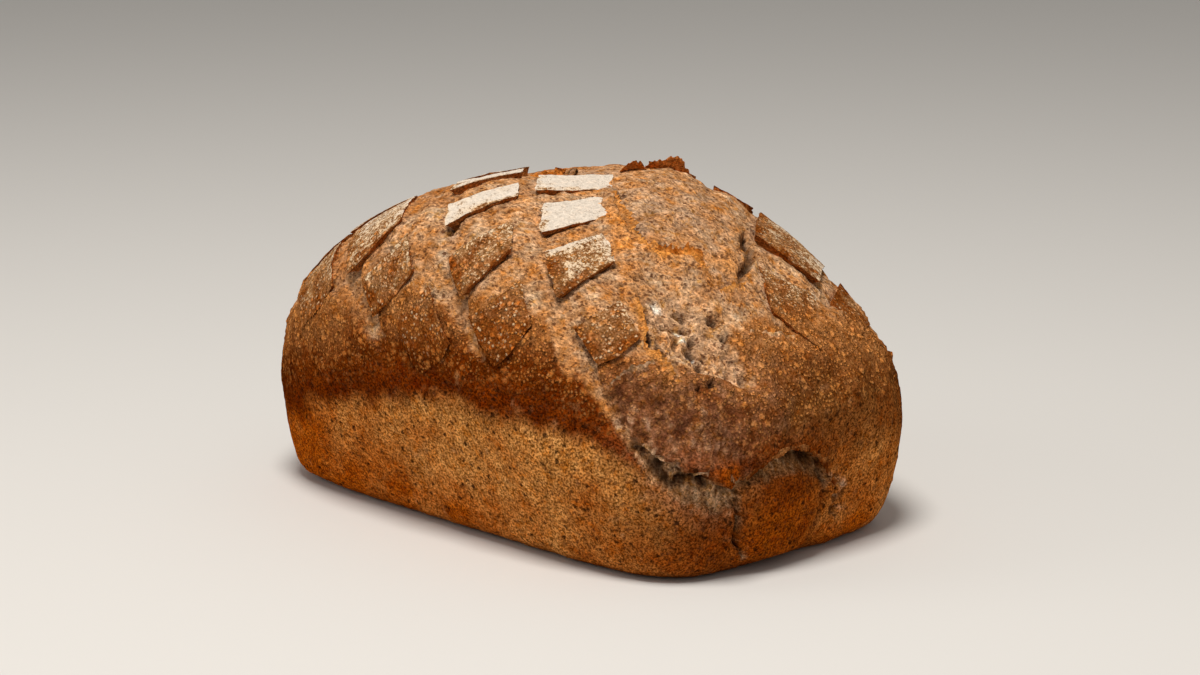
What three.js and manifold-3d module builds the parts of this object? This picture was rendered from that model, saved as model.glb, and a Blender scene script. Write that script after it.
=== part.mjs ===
// Whole wheat sourdough loaf, baked in a tin, with a diamond-scored top that has burst open.
// Millimetres. +Z is up, +X runs along the loaf to its burst end, and the origin is the middle
// of the flat base. One solid: a moulded body, scored crust plates fused on, cracks cut in.
import * as THREE from "three";
import { mergeVertices } from "three/addons/utils/BufferGeometryUtils.js";
import Module from "manifold-3d";

const wasm = await Module();
wasm.setup();

// Body: the tin shapes it up to the shoulder, and it rises as a dome above
const BASE_LENGTH = 200;
const BASE_WIDTH = 116;
const SHOULDER_LENGTH = 224;
const SHOULDER_WIDTH = 152;
const SHOULDER_HEIGHT = 50;
const LOAF_HEIGHT = 116.5;
const BASE_EDGE_RADIUS = 7;
// How the tin's walls flare (1 is straight, and more bows them out)
const WALL_POWER = 1.25;
// Roundness of the dome seen from the side and from the end (2 is an ellipse)
const END_POWER = 1.6;
const SIDE_POWER = 3;
// Squareness of the plan at the base, at the shoulder and at the top (2 is an ellipse)
const PLAN_LOW = 6;
const PLAN_SHOULDER = 3;
const PLAN_TOP = 2.1;
// The dome leans a little away from the burst end and towards the front
const TOP_SHIFT_X = -4.5;
const TOP_SHIFT_Y = -3.5;
// Grid cells of the body along X, Y and Z
const CELLS_X = 36;
const CELLS_Y = 24;
const CELLS_Z = 18;
// Above 1, this crowds the grid's levels towards the base edge
const LEVEL_POWER = 1.5;
// The body is moulded this much too deep, and its base is then cut flat
const BASE_TRIM = 0.8;
const GROUND_DEPTH = 20;
// Relief grows between these heights, so that the base keeps its outline
const RELIEF_FROM = 2;
const RELIEF_TO = 10;

// Scored zone: the top is unrolled about a line at shoulder height, so that `along` is the
// distance along the loaf and `around` the distance round it from the ridge
const UNROLL_RADIUS = 70;
const ZONE_AROUND = 100;
const ZONE_AROUND_AT_BURST = 106;
const BURST_ALONG_FROM = 40;
const BURST_ALONG_TO = 90;
const ZONE_ALONG = 102;
const ZONE_FADE = 12;
const CRUMB_DEPTH = 1.4;
const VALLEY_DEPTH = 1.6;
const VALLEY_WIDTH = 14;

// Crust plates: rows run at 45 degrees over the top. `across` places a row at its first plate and
// `lean` slants it. `half` is half a plate's width, `narrows` takes from it away from the ridge, and
// `lift` says how much the lower left edge curls up. The lists give each plate's place from the ridge
// down the near side, half its depth and its skew. Further plates follow on the far side at `pitch`
const ROWS = [
  {
    across: -105, lean: 0, half: 12, narrows: 0, pitch: 27, lift: 0.5,
    down: [14, 41], deep: [12, 9], skew: [0.1, 0.1],
  },
  {
    across: -71, lean: 0.18, half: 17, narrows: 0.085, pitch: 27, lift: 0.9,
    down: [16, 43, 69], deep: [12, 7.5, 9.5], skew: [-0.15, 0, 0.1],
  },
  {
    across: -31, lean: 0, half: 12, narrows: 0.03, pitch: 26.5, lift: 1.1,
    down: [8, 34.4, 61, 86.5, 109], deep: [8, 5.8, 7.6, 8.8, 6], skew: [-0.4, -0.43, -0.31, -0.06, 0],
  },
  {
    across: -1.5, lean: -0.03, half: 13.8, narrows: 0.088, pitch: 28, lift: 1.1,
    down: [17.5, 43.5, 72, 104], deep: [8.6, 9.2, 9.6, 8.8], skew: [-0.4, -0.68, -0.72, -0.53],
  },
  { across: 31, lean: 0, half: 8, narrows: 0, pitch: 27, lift: 0.8, down: [-36], deep: [9], skew: [0] },
  { across: 54, lean: 0, half: 8, narrows: 0, pitch: 27, lift: 0.1, down: [-28], deep: [8], skew: [0.2] },
  {
    across: 79.5, lean: 0, half: 15, narrows: 0, pitch: 36, lift: 0.9,
    down: [3.5, 44], deep: [15.5, 12], skew: [0, -0.5],
  },
  { across: 113, lean: 0, half: 10, narrows: 0, pitch: 28, lift: 0.3, down: [9], deep: [9], skew: [0] },
];
// Most plates that a row has on the far side, and their half depth, skew and most lift
const FAR_PLATES = 8;
const FAR_DEEP = 9;
const FAR_SKEW = -0.2;
const FAR_LIFT = 0.5;
// How far a plate's middle bows down its row
const BOW = 1.8;
// Plates that the burst tore away, as row and plate numbers
const TORN_AWAY = ["3 -1", "3 -2"];
const PLATE_AROUND = 97;
const PLATE_ALONG = 94;
const LIFT_BASE = -0.3;
const LIFT_DOWN = 1.1;
const LIFT_LEFT = 0.5;
const PLATE_ROOT = 6;
const PLATE_CELLS = 3;

// Burst: a smooth bulge between two rows, a pit below it and a dip where plates were torn away
const BURST = { across: 34, down: 30, halfAcross: 27, halfDown: 40, rise: 4.2 };
const PIT = { across: 18, down: 107, halfAcross: 13, halfDown: 25, rise: -4.5 };
const DIP = { across: -3, down: -14, halfAcross: 24, halfDown: 21, rise: -4.5 };
// Torn hollow low on the burst corner, and the tucked fold on the end
const TEAR = { centre: new THREE.Vector3(94, -54, 53), radius: 15, rise: -1.6 };
const FOLD = { centre: new THREE.Vector3(106, -12, 16), radius: 18, rise: 3.4 };

// Torn flaps: each runs through a few unrolled points, reaches this far to its left or, below
// zero, to its right, and its free edge stands this high
const FLAPS = [
  { points: [[23, -8], [38, -23], [55, -34], [66, -23], [70, -21]], reach: 3, rise: 1.4 },
  { points: [[79, -24], [80, -10], [78, 4]], reach: 3, rise: 1.2 },
  { points: [[-17, -10], [-9, -8], [-1, -6]], reach: 2.5, rise: 1.6 },
  { points: [[-2, 21], [1, 24], [5, 27]], reach: -2, rise: 2.4 },
  { points: [[-1, 32], [4, 37], [10, 44]], reach: -2.6, rise: 4.6 },
];
const FLAP_ROOT = 3;
const FLAP_END_TAPER = 0.3;

// Cracks: each runs through a few points, unrolled or in space, and is a tapering V-shaped cut
const CRACKS = [
  { points: [[89, -61, 45], [96, -56, 38], [103, -47, 32], [107, -34, 30]], width: 10, depth: 7 },
  { points: [[107, -32, 32], [110, -18, 37], [110, -9, 36], [107, 8, 25]], width: 7, depth: 4.5 },
  { points: [[107, 6, 28], [106, 17, 21], [103, 17, 10]], width: 3, depth: 3 },
  { points: [[107, -33, 31], [105, -32, 21], [102, -25, 6]], width: 3, depth: 5.5 },
  { points: [[54, 31], [68, 18], [77, -4]], width: 5, depth: 4 },
];
const CRACK_PROUD = 5;
const CRACK_END_TAPER = 0.25;
// Sections between two points of a flap or crack
const PATH_STEPS = 3;

// Half length, half width, squareness and middle of the level section at height z
function sectionAt(z) {
  const low = THREE.MathUtils.clamp(z / SHOULDER_HEIGHT, 0, 1);
  const rise = (z - SHOULDER_HEIGHT) / (LOAF_HEIGHT - SHOULDER_HEIGHT);
  const up = THREE.MathUtils.clamp(rise, 0, 1);
  const swell = 1 - (1 - low) ** WALL_POWER;
  const below = Math.max(0, BASE_EDGE_RADIUS - z);
  const inset = BASE_EDGE_RADIUS - Math.sqrt(Math.max(0, BASE_EDGE_RADIUS ** 2 - below ** 2));
  const length = BASE_LENGTH + (SHOULDER_LENGTH - BASE_LENGTH) * swell;
  const width = BASE_WIDTH + (SHOULDER_WIDTH - BASE_WIDTH) * swell;
  const power = up > 0
    ? PLAN_SHOULDER + (PLAN_TOP - PLAN_SHOULDER) * up
    : PLAN_LOW + (PLAN_SHOULDER - PLAN_LOW) * low;
  return {
    halfLength: (length / 2 - inset) * (1 - up ** END_POWER) ** (1 / END_POWER),
    halfWidth: (width / 2 - inset) * (1 - up ** SIDE_POWER) ** (1 / SIDE_POWER),
    power,
    middleX: TOP_SHIFT_X * up,
    middleY: TOP_SHIFT_Y * up,
  };
}

function isInside(point) {
  if (point.z < 0 || point.z >= LOAF_HEIGHT) return false;
  const section = sectionAt(point.z);
  const x = Math.abs((point.x - section.middleX) / section.halfLength);
  const y = Math.abs((point.y - section.middleY) / section.halfWidth);
  return x ** section.power + y ** section.power <= 1;
}

// Where a ray from inside the body leaves it, found by halving
function leave(start, direction) {
  let near = 0;
  let far = SHOULDER_LENGTH;
  const point = new THREE.Vector3();
  for (let step = 0; step < 40; step += 1) {
    const middle = (near + far) / 2;
    point.copy(start).addScaledVector(direction, middle);
    if (isInside(point)) near = middle;
    else far = middle;
  }
  return point.copy(start).addScaledVector(direction, near);
}

const HEART = new THREE.Vector3(0, 0, SHOULDER_HEIGHT);

// A point moved onto the body: level with itself below the shoulder, away from the heart above
function pushedOut(point) {
  const start = HEART.clone();
  start.z = Math.min(point.z, SHOULDER_HEIGHT);
  return leave(start, point.clone().sub(start).normalize());
}

// Point on the body for unrolled coordinates
function rolledPoint(along, around) {
  const angle = around / UNROLL_RADIUS;
  const start = new THREE.Vector3(along, 0, SHOULDER_HEIGHT);
  return leave(start, new THREE.Vector3(0, Math.sin(angle), Math.cos(angle)));
}

function unroll(point) {
  return [point.x, UNROLL_RADIUS * Math.atan2(point.y, point.z - SHOULDER_HEIGHT)];
}

// Outward normal of the body at a point on it
function outward(point) {
  const step = 0.5;
  const away = point.clone().sub(HEART).normalize();
  const side = new THREE.Vector3(-away.y, away.x, 0);
  if (side.length() < 1e-6) side.set(1, 0, 0);
  side.normalize();
  const other = away.clone().cross(side);
  const moved = (axis, sign) => pushedOut(point.clone().addScaledVector(axis, sign * step));
  const first = moved(side, 1).sub(moved(side, -1));
  const second = moved(other, 1).sub(moved(other, -1));
  const normal = first.cross(second).normalize();
  return normal.dot(away) < 0 ? normal.negate() : normal;
}

function ease(value, from, to) {
  return THREE.MathUtils.smoothstep(value, from, to);
}

// 1 inside the scored zone, fading to 0 at its rim
function scored(along, around) {
  const atBurst = ease(along, BURST_ALONG_FROM, BURST_ALONG_TO);
  const reach = ZONE_AROUND + (ZONE_AROUND_AT_BURST - ZONE_AROUND) * atBurst;
  const sideways = 1 - ease(Math.abs(around), reach - ZONE_FADE, reach);
  const endways = 1 - ease(Math.abs(along), ZONE_ALONG - ZONE_FADE, ZONE_ALONG);
  return sideways * endways;
}

// The lattice's directions from `along` and `around`, and the same turn brings them back
function lattice(along, around) {
  return [(along + around) / Math.SQRT2, (along - around) / Math.SQRT2];
}

function plateHalf(row, around) {
  return row.half - row.narrows * Math.abs(around);
}

function rowMiddle(row, down) {
  return row.across + row.lean * (down - row.down[0]);
}

function bump(shape, across, down) {
  const u = (across - shape.across) / shape.halfAcross;
  const v = (down - shape.down) / shape.halfDown;
  return shape.rise * Math.exp(-((u * u + v * v) ** 1.5));
}

function spot(shape, point) {
  const far = point.distanceTo(shape.centre) / shape.radius;
  return shape.rise * Math.exp(-(far ** 3));
}

// How far the body's surface stands out from the plain form at a point on it
function relief(point) {
  const [along, around] = unroll(point);
  const [across, down] = lattice(along, around);
  let valley = 0;
  for (const row of ROWS) {
    const edge = rowMiddle(row, down) - plateHalf(row, around);
    valley = Math.max(valley, Math.exp(-(((across - edge) / (VALLEY_WIDTH / 2)) ** 2)));
  }
  const torn = bump(BURST, across, down) + bump(PIT, across, down) + bump(DIP, across, down);
  const height = torn - CRUMB_DEPTH - VALLEY_DEPTH * valley;
  return scored(along, around) * height + spot(TEAR, point) + spot(FOLD, point);
}

// A box of dough whose surface is pushed out to the form and then to the relief; its bottom
// is a flat outline just below the base
function bodyGeometry() {
  const box = new THREE.BoxGeometry(
    SHOULDER_LENGTH, SHOULDER_WIDTH, LOAF_HEIGHT, CELLS_X, CELLS_Y, CELLS_Z);
  box.translate(0, 0, LOAF_HEIGHT / 2);
  box.deleteAttribute("normal");
  box.deleteAttribute("uv");
  const geometry = mergeVertices(box);
  const positions = geometry.getAttribute("position");
  const corner = new THREE.Vector3();
  for (let index = 0; index < positions.count; index += 1) {
    corner.fromBufferAttribute(positions, index);
    const onBase = corner.z < 1e-6;
    if (onBase) {
      const section = sectionAt(0);
      const x = corner.x / (SHOULDER_LENGTH / 2);
      const y = corner.y / (SHOULDER_WIDTH / 2);
      const square = Math.max(Math.abs(x), Math.abs(y));
      const round = (Math.abs(x) ** section.power + Math.abs(y) ** section.power) ** (1 / section.power);
      const shrink = round > 0 ? square / round : 1;
      positions.setXYZ(
        index, x * shrink * section.halfLength, y * shrink * section.halfWidth, -BASE_TRIM);
    } else {
      if (corner.z < SHOULDER_HEIGHT) {
        corner.z = SHOULDER_HEIGHT * (corner.z / SHOULDER_HEIGHT) ** LEVEL_POWER;
      }
      const point = pushedOut(corner);
      const stand = relief(point) * ease(point.z, RELIEF_FROM, RELIEF_TO);
      point.addScaledVector(outward(point), stand);
      positions.setXYZ(index, point.x, point.y, point.z);
    }
  }
  return geometry;
}

// One crust plate: a curved slab rooted in the body, with its lower left edge lifted
function plateGeometry(rowNumber, plateNumber) {
  const row = ROWS[rowNumber];
  const isNear = plateNumber >= 0;
  const middle = isNear ? row.down[plateNumber] : row.down[0] + row.pitch * plateNumber;
  const deep = isNear ? row.deep[plateNumber] : FAR_DEEP;
  const skew = isNear ? row.skew[plateNumber] : FAR_SKEW;
  const curl = isNear ? row.lift : Math.min(FAR_LIFT, row.lift);
  const across = rowMiddle(row, middle);
  const [along, around] = lattice(across, middle);
  if (Math.abs(around) > PLATE_AROUND || Math.abs(along) > PLATE_ALONG) return null;
  const half = plateHalf(row, around);
  const side = PLATE_CELLS + 1;
  const positions = [];
  const roots = [];
  for (let i = 0; i < side; i += 1) {
    for (let j = 0; j < side; j += 1) {
      const u = (2 * i) / PLATE_CELLS - 1;
      const v = (2 * j) / PLATE_CELLS - 1;
      const bow = BOW * (0.5 - u * u);
      const place = lattice(across + u * half, middle + skew * u * half + v * deep + bow);
      const point = rolledPoint(...place);
      const normal = outward(point);
      const lift = LIFT_BASE + (curl * (LIFT_DOWN * (v + 1) + LIFT_LEFT * (1 - u))) / 2;
      const top = point.clone().addScaledVector(normal, lift * scored(...place));
      const root = point.clone().addScaledVector(normal, -PLATE_ROOT);
      positions.push(top.x, top.y, top.z);
      roots.push(root.x, root.y, root.z);
    }
  }
  const count = side * side;
  const faces = [];
  const quad = (a, b, c, d) => faces.push(a, b, c, a, c, d);
  for (let i = 0; i < PLATE_CELLS; i += 1) {
    for (let j = 0; j < PLATE_CELLS; j += 1) {
      const a = i * side + j;
      quad(a, a + 1, a + 1 + side, a + side);
      quad(count + a, count + a + side, count + a + 1 + side, count + a + 1);
    }
    const low = i * side;
    const high = i * side + PLATE_CELLS;
    const left = i;
    const right = PLATE_CELLS * side + i;
    quad(low, low + side, count + low + side, count + low);
    quad(high + side, high, count + high, count + high + side);
    quad(left + 1, left, count + left, count + left + 1);
    quad(right, right + 1, count + right + 1, count + right);
  }
  return closedGeometry(positions.concat(roots), faces);
}

// Stations on the body along a smooth path through a few points, unrolled or in space
function stations(points) {
  const corners = points.map((point) => (
    point.length === 2 ? rolledPoint(...point) : new THREE.Vector3(...point)));
  const path = new THREE.CatmullRomCurve3(corners);
  const steps = PATH_STEPS * (points.length - 1);
  const made = [];
  for (let step = 0; step <= steps; step += 1) {
    const share = step / steps;
    const point = pushedOut(path.getPoint(share));
    const normal = outward(point);
    const left = normal.clone().cross(path.getTangent(share)).normalize();
    made.push({ point, normal, left, share });
  }
  return made;
}

// A closed tube of sections that have the same number of corners, flat at both ends
function lofted(sections) {
  const around = sections[0].length;
  const last = around * (sections.length - 1);
  const faces = [];
  for (let corner = 1; corner + 1 < around; corner += 1) {
    faces.push(0, corner, corner + 1, last, last + corner + 1, last + corner);
  }
  for (let ring = 0; ring < last; ring += around) {
    for (let corner = 0; corner < around; corner += 1) {
      const a = ring + corner;
      const b = ring + ((corner + 1) % around);
      faces.push(a, a + around, b, b, a + around, b + around);
    }
  }
  return closedGeometry(sections.flat().flatMap((point) => point.toArray()), faces);
}

// A V-shaped cutter that follows a crack over the body and tapers at both ends
function crackGeometry(crack) {
  return lofted(stations(crack.points).map(({ point, normal, left, share }) => {
    const taper = CRACK_END_TAPER + (1 - CRACK_END_TAPER) * Math.sin(Math.PI * share);
    const half = (crack.width / 2) * taper * (1 + CRACK_PROUD / crack.depth);
    const proud = point.clone().addScaledVector(normal, CRACK_PROUD);
    return [
      proud.clone().addScaledVector(left, half),
      proud.clone().addScaledVector(left, -half),
      point.clone().addScaledVector(normal, -crack.depth * taper),
    ];
  }));
}

// A torn flap: a wedge rooted in the body, highest at its free edge and low at both ends
function flapGeometry(flap) {
  return lofted(stations(flap.points).map(({ point, normal, left, share }) => {
    const taper = FLAP_END_TAPER + (1 - FLAP_END_TAPER) * Math.sin(Math.PI * share);
    const free = point.clone().addScaledVector(left, flap.reach);
    const root = point.clone().addScaledVector(left, -Math.sign(flap.reach) * FLAP_ROOT);
    const top = pushedOut(free).addScaledVector(normal, flap.rise * taper);
    return [
      pushedOut(root).addScaledVector(normal, -1),
      top,
      pushedOut(free).addScaledVector(normal, -PLATE_ROOT),
      pushedOut(root).addScaledVector(normal, -PLATE_ROOT),
    ];
  }));
}

// Closed geometry with its faces turned outwards
function closedGeometry(positions, faces) {
  let volume = 0;
  const corner = (index) => new THREE.Vector3().fromArray(positions, 3 * index);
  for (let index = 0; index < faces.length; index += 3) {
    const [a, b, c] = [0, 1, 2].map((turn) => corner(faces[index + turn]));
    volume += a.dot(b.cross(c));
  }
  const outwards = volume > 0 ? faces : faces.slice().reverse();
  const geometry = new THREE.BufferGeometry();
  geometry.setAttribute("position", new THREE.Float32BufferAttribute(positions, 3));
  geometry.setIndex(outwards);
  return geometry;
}

function solid(geometry) {
  return new wasm.Manifold(new wasm.Mesh({
    numProp: 3,
    vertProperties: new Float32Array(geometry.getAttribute("position").array),
    triVerts: new Uint32Array(geometry.getIndex().array),
  }));
}

// Everything below the base, to be cut away
function groundGeometry() {
  const ground = new THREE.BoxGeometry(2 * SHOULDER_LENGTH, 2 * SHOULDER_WIDTH, GROUND_DEPTH);
  ground.translate(0, 0, -GROUND_DEPTH / 2);
  ground.deleteAttribute("normal");
  ground.deleteAttribute("uv");
  return mergeVertices(ground);
}

let loaf = solid(bodyGeometry()).subtract(solid(groundGeometry()));
for (let rowNumber = 0; rowNumber < ROWS.length; rowNumber += 1) {
  for (let plateNumber = -FAR_PLATES; plateNumber < ROWS[rowNumber].down.length; plateNumber += 1) {
    const tornAway = TORN_AWAY.includes(`${rowNumber} ${plateNumber}`);
    const plate = tornAway ? null : plateGeometry(rowNumber, plateNumber);
    if (plate) loaf = loaf.add(solid(plate));
  }
}
for (const flap of FLAPS) loaf = loaf.add(solid(flapGeometry(flap)));
for (const crack of CRACKS) loaf = loaf.subtract(solid(crackGeometry(crack)));

const shell = loaf.getMesh();
const geometry = new THREE.BufferGeometry();
geometry.setAttribute("position", new THREE.Float32BufferAttribute(shell.vertProperties, shell.numProp));
geometry.setIndex(Array.from(shell.triVerts));
geometry.computeVertexNormals();

const crust = new THREE.MeshStandardMaterial({ color: 0xb8834a, roughness: 0.85, metalness: 0 });
crust.name = "crust";
const mesh = new THREE.Mesh(geometry, crust);
mesh.name = "loaf";

const group = new THREE.Group();
group.name = "whole_wheat_sourdough_loaf";
group.add(mesh);
export default group;
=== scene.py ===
# %% [markdown]
# A whole wheat sourdough loaf
#
# This script dresses a plain solid loaf as the real thing: a loaf baked in a tin, with a floured top
# that was scored in a lattice and burst open at one end. The solid gives the frame, the size and the
# place. Everything else is made here from rules: a fine grid pushed out to the loaf's form, slabs of
# floured skin on the scored top, torn edges, and one crust material coloured by the mesh's points.
# Sizes are in millimetres until a mesh is built.

import math
from types import SimpleNamespace

import bpy
import numpy as np
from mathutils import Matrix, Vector


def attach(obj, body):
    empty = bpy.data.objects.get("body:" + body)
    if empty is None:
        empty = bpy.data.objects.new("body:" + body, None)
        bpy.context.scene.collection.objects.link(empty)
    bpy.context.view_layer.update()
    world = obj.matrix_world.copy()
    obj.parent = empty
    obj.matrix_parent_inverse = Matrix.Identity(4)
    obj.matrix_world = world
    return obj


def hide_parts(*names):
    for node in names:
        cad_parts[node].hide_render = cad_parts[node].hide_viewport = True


MM = 0.001
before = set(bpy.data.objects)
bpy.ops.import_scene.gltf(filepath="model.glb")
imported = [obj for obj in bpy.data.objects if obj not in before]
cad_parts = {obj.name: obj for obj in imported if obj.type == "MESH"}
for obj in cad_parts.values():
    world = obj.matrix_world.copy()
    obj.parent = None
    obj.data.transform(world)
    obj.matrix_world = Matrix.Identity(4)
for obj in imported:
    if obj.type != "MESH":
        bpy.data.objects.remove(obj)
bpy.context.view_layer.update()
print("nodes:", list(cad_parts))

# %% [markdown]
# The form of the loaf
#
# Below the shoulder the tin moulded the dough: walls that flare a little, a nearly rectangular plan and
# a rounded bottom edge. Above it the dough rose freely into a dome. Sculpting would do, but level
# sections are exact and can be measured: each height has a length, a width and a power that says how
# square the plan is. A point is then found on the form by halving the way out of it.

# %% The form as level sections
BASE_LENGTH, BASE_WIDTH = 200.0, 116.0
SHOULDER_LENGTH, SHOULDER_WIDTH = 224.0, 152.0
SHOULDER, HEIGHT, BASE_EDGE = 50.0, 116.5, 7.0
WALL_POWER = 1.25
END_POWER, SIDE_POWER = 1.6, 3.0
PLAN_LOW, PLAN_SHOULDER, PLAN_TOP = 6.0, 3.0, 2.1
TOP_SHIFT_X, TOP_SHIFT_Y = -4.5, -3.5
NEARLY_TOP, FAR_OUT = 0.99999, 60.0
HALVINGS, SLOPE_STEP = 36, 0.4


def sections(z):
    """Half length, half width, power and shift of the plan at each height."""
    z = np.clip(z, 0, HEIGHT)
    low = np.clip(z / SHOULDER, 0, 1)
    up = np.clip((z - SHOULDER) / (HEIGHT - SHOULDER), 0, NEARLY_TOP)
    swell = 1 - (1 - low) ** WALL_POWER
    inset = BASE_EDGE - np.sqrt(np.maximum(0, BASE_EDGE**2 - np.maximum(0, BASE_EDGE - z) ** 2))
    half_length = (BASE_LENGTH + (SHOULDER_LENGTH - BASE_LENGTH) * swell) / 2 - inset
    half_width = (BASE_WIDTH + (SHOULDER_WIDTH - BASE_WIDTH) * swell) / 2 - inset
    half_length = half_length * (1 - up**END_POWER) ** (1 / END_POWER)
    half_width = half_width * (1 - up**SIDE_POWER) ** (1 / SIDE_POWER)
    moulded = PLAN_LOW + (PLAN_SHOULDER - PLAN_LOW) * low
    risen = PLAN_SHOULDER + (PLAN_TOP - PLAN_SHOULDER) * up
    power = np.where(up > 0, risen, moulded)
    return half_length, half_width, power, TOP_SHIFT_X * up, TOP_SHIFT_Y * up


def depth_in(points):
    """Below 1 inside the form, 1 on it and above 1 outside."""
    half_length, half_width, power, mid_x, mid_y = sections(points[:, 2])
    x = np.abs((points[:, 0] - mid_x) / half_length)
    y = np.abs((points[:, 1] - mid_y) / half_width)
    return np.minimum(x, FAR_OUT) ** power + np.minimum(y, FAR_OUT) ** power


def leave(start, direction):
    """Points where rays from inside leave the form."""
    near = np.zeros(len(start))
    far = np.full(len(start), SHOULDER_LENGTH)
    for _ in range(HALVINGS):
        middle = (near + far) / 2
        point = start + direction * middle[:, None]
        inside = (depth_in(point) <= 1) & (point[:, 2] < HEIGHT) & (point[:, 2] >= 0)
        near = np.where(inside, middle, near)
        far = np.where(inside, far, middle)
    return start + direction * near[:, None]


def push_out(points):
    """The points moved onto the form, straight out from its axis."""
    start = np.zeros_like(points)
    start[:, 2] = np.minimum(points[:, 2], SHOULDER)
    way = points - start
    return leave(start, way / np.linalg.norm(way, axis=1, keepdims=True))


def outward(points):
    """Directions that stand square on the form."""
    slope = np.zeros_like(points)
    for axis in range(3):
        shift = np.zeros(3)
        shift[axis] = SLOPE_STEP
        slope[:, axis] = depth_in(points + shift) - depth_in(points - shift)
    return slope / np.linalg.norm(slope, axis=1, keepdims=True)


print("form at the shoulder, mm:", [round(2 * float(half), 1) for half in sections(SHOULDER)[:2]])

# %% [markdown]
# The scored top is easier to describe unrolled: `along` runs down the loaf's length and `around` runs
# over it from the ridge. The score lines cross at 45 degrees, so `across` and `down` are those two turned.

# %% Unrolling the top
UNROLL_RADIUS = 70.0
ROOT_TWO = math.sqrt(2)


def unroll(points):
    """Along and around of points in space."""
    around = UNROLL_RADIUS * np.arctan2(points[:, 1], points[:, 2] - SHOULDER)
    return points[:, 0], around


def roll(along, around):
    """Points on the form, from along and around."""
    angle = around / UNROLL_RADIUS
    start = np.stack([along, 0 * along, 0 * along + SHOULDER], 1)
    return leave(start, np.stack([0 * angle, np.sin(angle), np.cos(angle)], 1))


def lattice(along, around):
    """Across and down from along and around, or the other way round: done twice it undoes itself."""
    return (along + around) / ROOT_TWO, (along - around) / ROOT_TWO


def ease(value, start, end):
    """A smooth step from 0 at `start` to 1 at `end`."""
    share = np.clip((value - start) / (end - start), 0, 1)
    return share * share * (3 - 2 * share)


print("ridge at mid length, mm:", np.round(roll(np.zeros(1), np.zeros(1))[0], 1))

# %% [markdown]
# Bread is uneven at every size, so most of what follows needs noise. These helpers give smooth noise,
# noise in octaves, and scattered spots, all worked out from a hash of the place, so that the loaf comes
# out the same each time. In their calls the size comes first, then for `rough` the number of octaves and
# for `shake` the reach, and the last number is a seed.

# %% Noise helpers
HASH_AXES = (73856093, 19349663, 83492791)
HASH_ROUNDS = ((15, 2246822519), (13, 3266489917))
HASH_SEED, HASH_LAST, HASH_RANGE = 2654435761, 16, 2**32
NOISE_GAIN = 1.7
WAVE_FIRST, WAVE_SECOND, WAVE_SIZE = 12.9898, 78.233, 43758.5453


def cell_hash(cell, seed):
    """A share from 0 to 1 for each grid cell, by chance."""
    mixed = np.uint32((seed * HASH_SEED) % HASH_RANGE)
    for axis, factor in enumerate(HASH_AXES):
        mixed = mixed ^ cell[..., axis] * np.uint32(factor)
    for bits, factor in HASH_ROUNDS:
        mixed = (mixed ^ (mixed >> np.uint32(bits))) * np.uint32(factor)
    return (mixed ^ (mixed >> np.uint32(HASH_LAST))) / (HASH_RANGE - 1.0)


def noise(points, size, seed=0):
    """Smooth gradient noise from about -1 to 1 with blobs about `size` across."""
    spot = points / size
    floor = np.floor(spot)
    part = spot - floor
    cell = floor.astype(np.int64).astype(np.uint32)
    fade = part * part * part * (part * (part * 6 - 15) + 10)
    total = np.zeros(len(points))
    for corner in np.ndindex(2, 2, 2):
        step = np.array(corner)
        here = cell + step.astype(np.uint32)
        pull = np.stack([cell_hash(here, seed * 3 + k) * 2 - 1 for k in range(3)], 1)
        weight = np.prod(np.where(step == 1, fade, 1 - fade), axis=1)
        total += weight * ((part - step) * pull).sum(1)
    return total * NOISE_GAIN


def rough(points, size, octaves, seed=0):
    """Noise in octaves, each half the size and half the strength of the last."""
    total = np.zeros(len(points))
    for octave in range(octaves):
        total += noise(points, size / 2**octave, seed + 17 * octave) / 2**octave
    return total


def shake(points, size, reach, seed):
    """The points moved about by noise, so that what is measured from them comes out ragged."""
    return points + reach * np.stack([noise(points, size, seed + k) for k in range(3)], 1)


def cells(points, size, seed=0):
    """Distance to the nearest of scattered points, in cells, and a share by chance for that point."""
    spot = points / size
    floor = np.floor(spot)
    best = np.full(len(points), np.inf)
    chance = np.zeros(len(points))
    for step in np.ndindex(3, 3, 3):
        corner = floor + np.array(step) - 1
        cell = corner.astype(np.int64).astype(np.uint32)
        place = corner + np.stack([cell_hash(cell, seed * 5 + k) for k in range(3)], 1)
        apart = np.linalg.norm(spot - place, axis=1)
        nearer = apart < best
        best = np.where(nearer, apart, best)
        chance = np.where(nearer, cell_hash(cell, seed * 5 + 3), chance)
    return best, chance


def spread(first, second):
    """A number from -1 to 1 by chance, for a pair of whole numbers."""
    wave = math.sin(first * WAVE_FIRST + second * WAVE_SECOND) * WAVE_SIZE
    return 2 * (wave - math.floor(wave)) - 1


sample = noise(np.linspace(0, HEIGHT, 3000).reshape(-1, 3), 9)
print("noise from", round(sample.min(), 2), "to", round(sample.max(), 2))

# %% [markdown]
# Where the scored plates sit
#
# The baker cut a lattice into the floured dough. The cuts opened in the oven, so each diamond of floured
# skin stands apart from the next on paler crumb. They lie in rows that run over the loaf at 45 degrees.
# On the near side each plate shows, so a row lists them one by one; on the far side a row goes on at its
# own pitch with usual plates.

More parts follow.
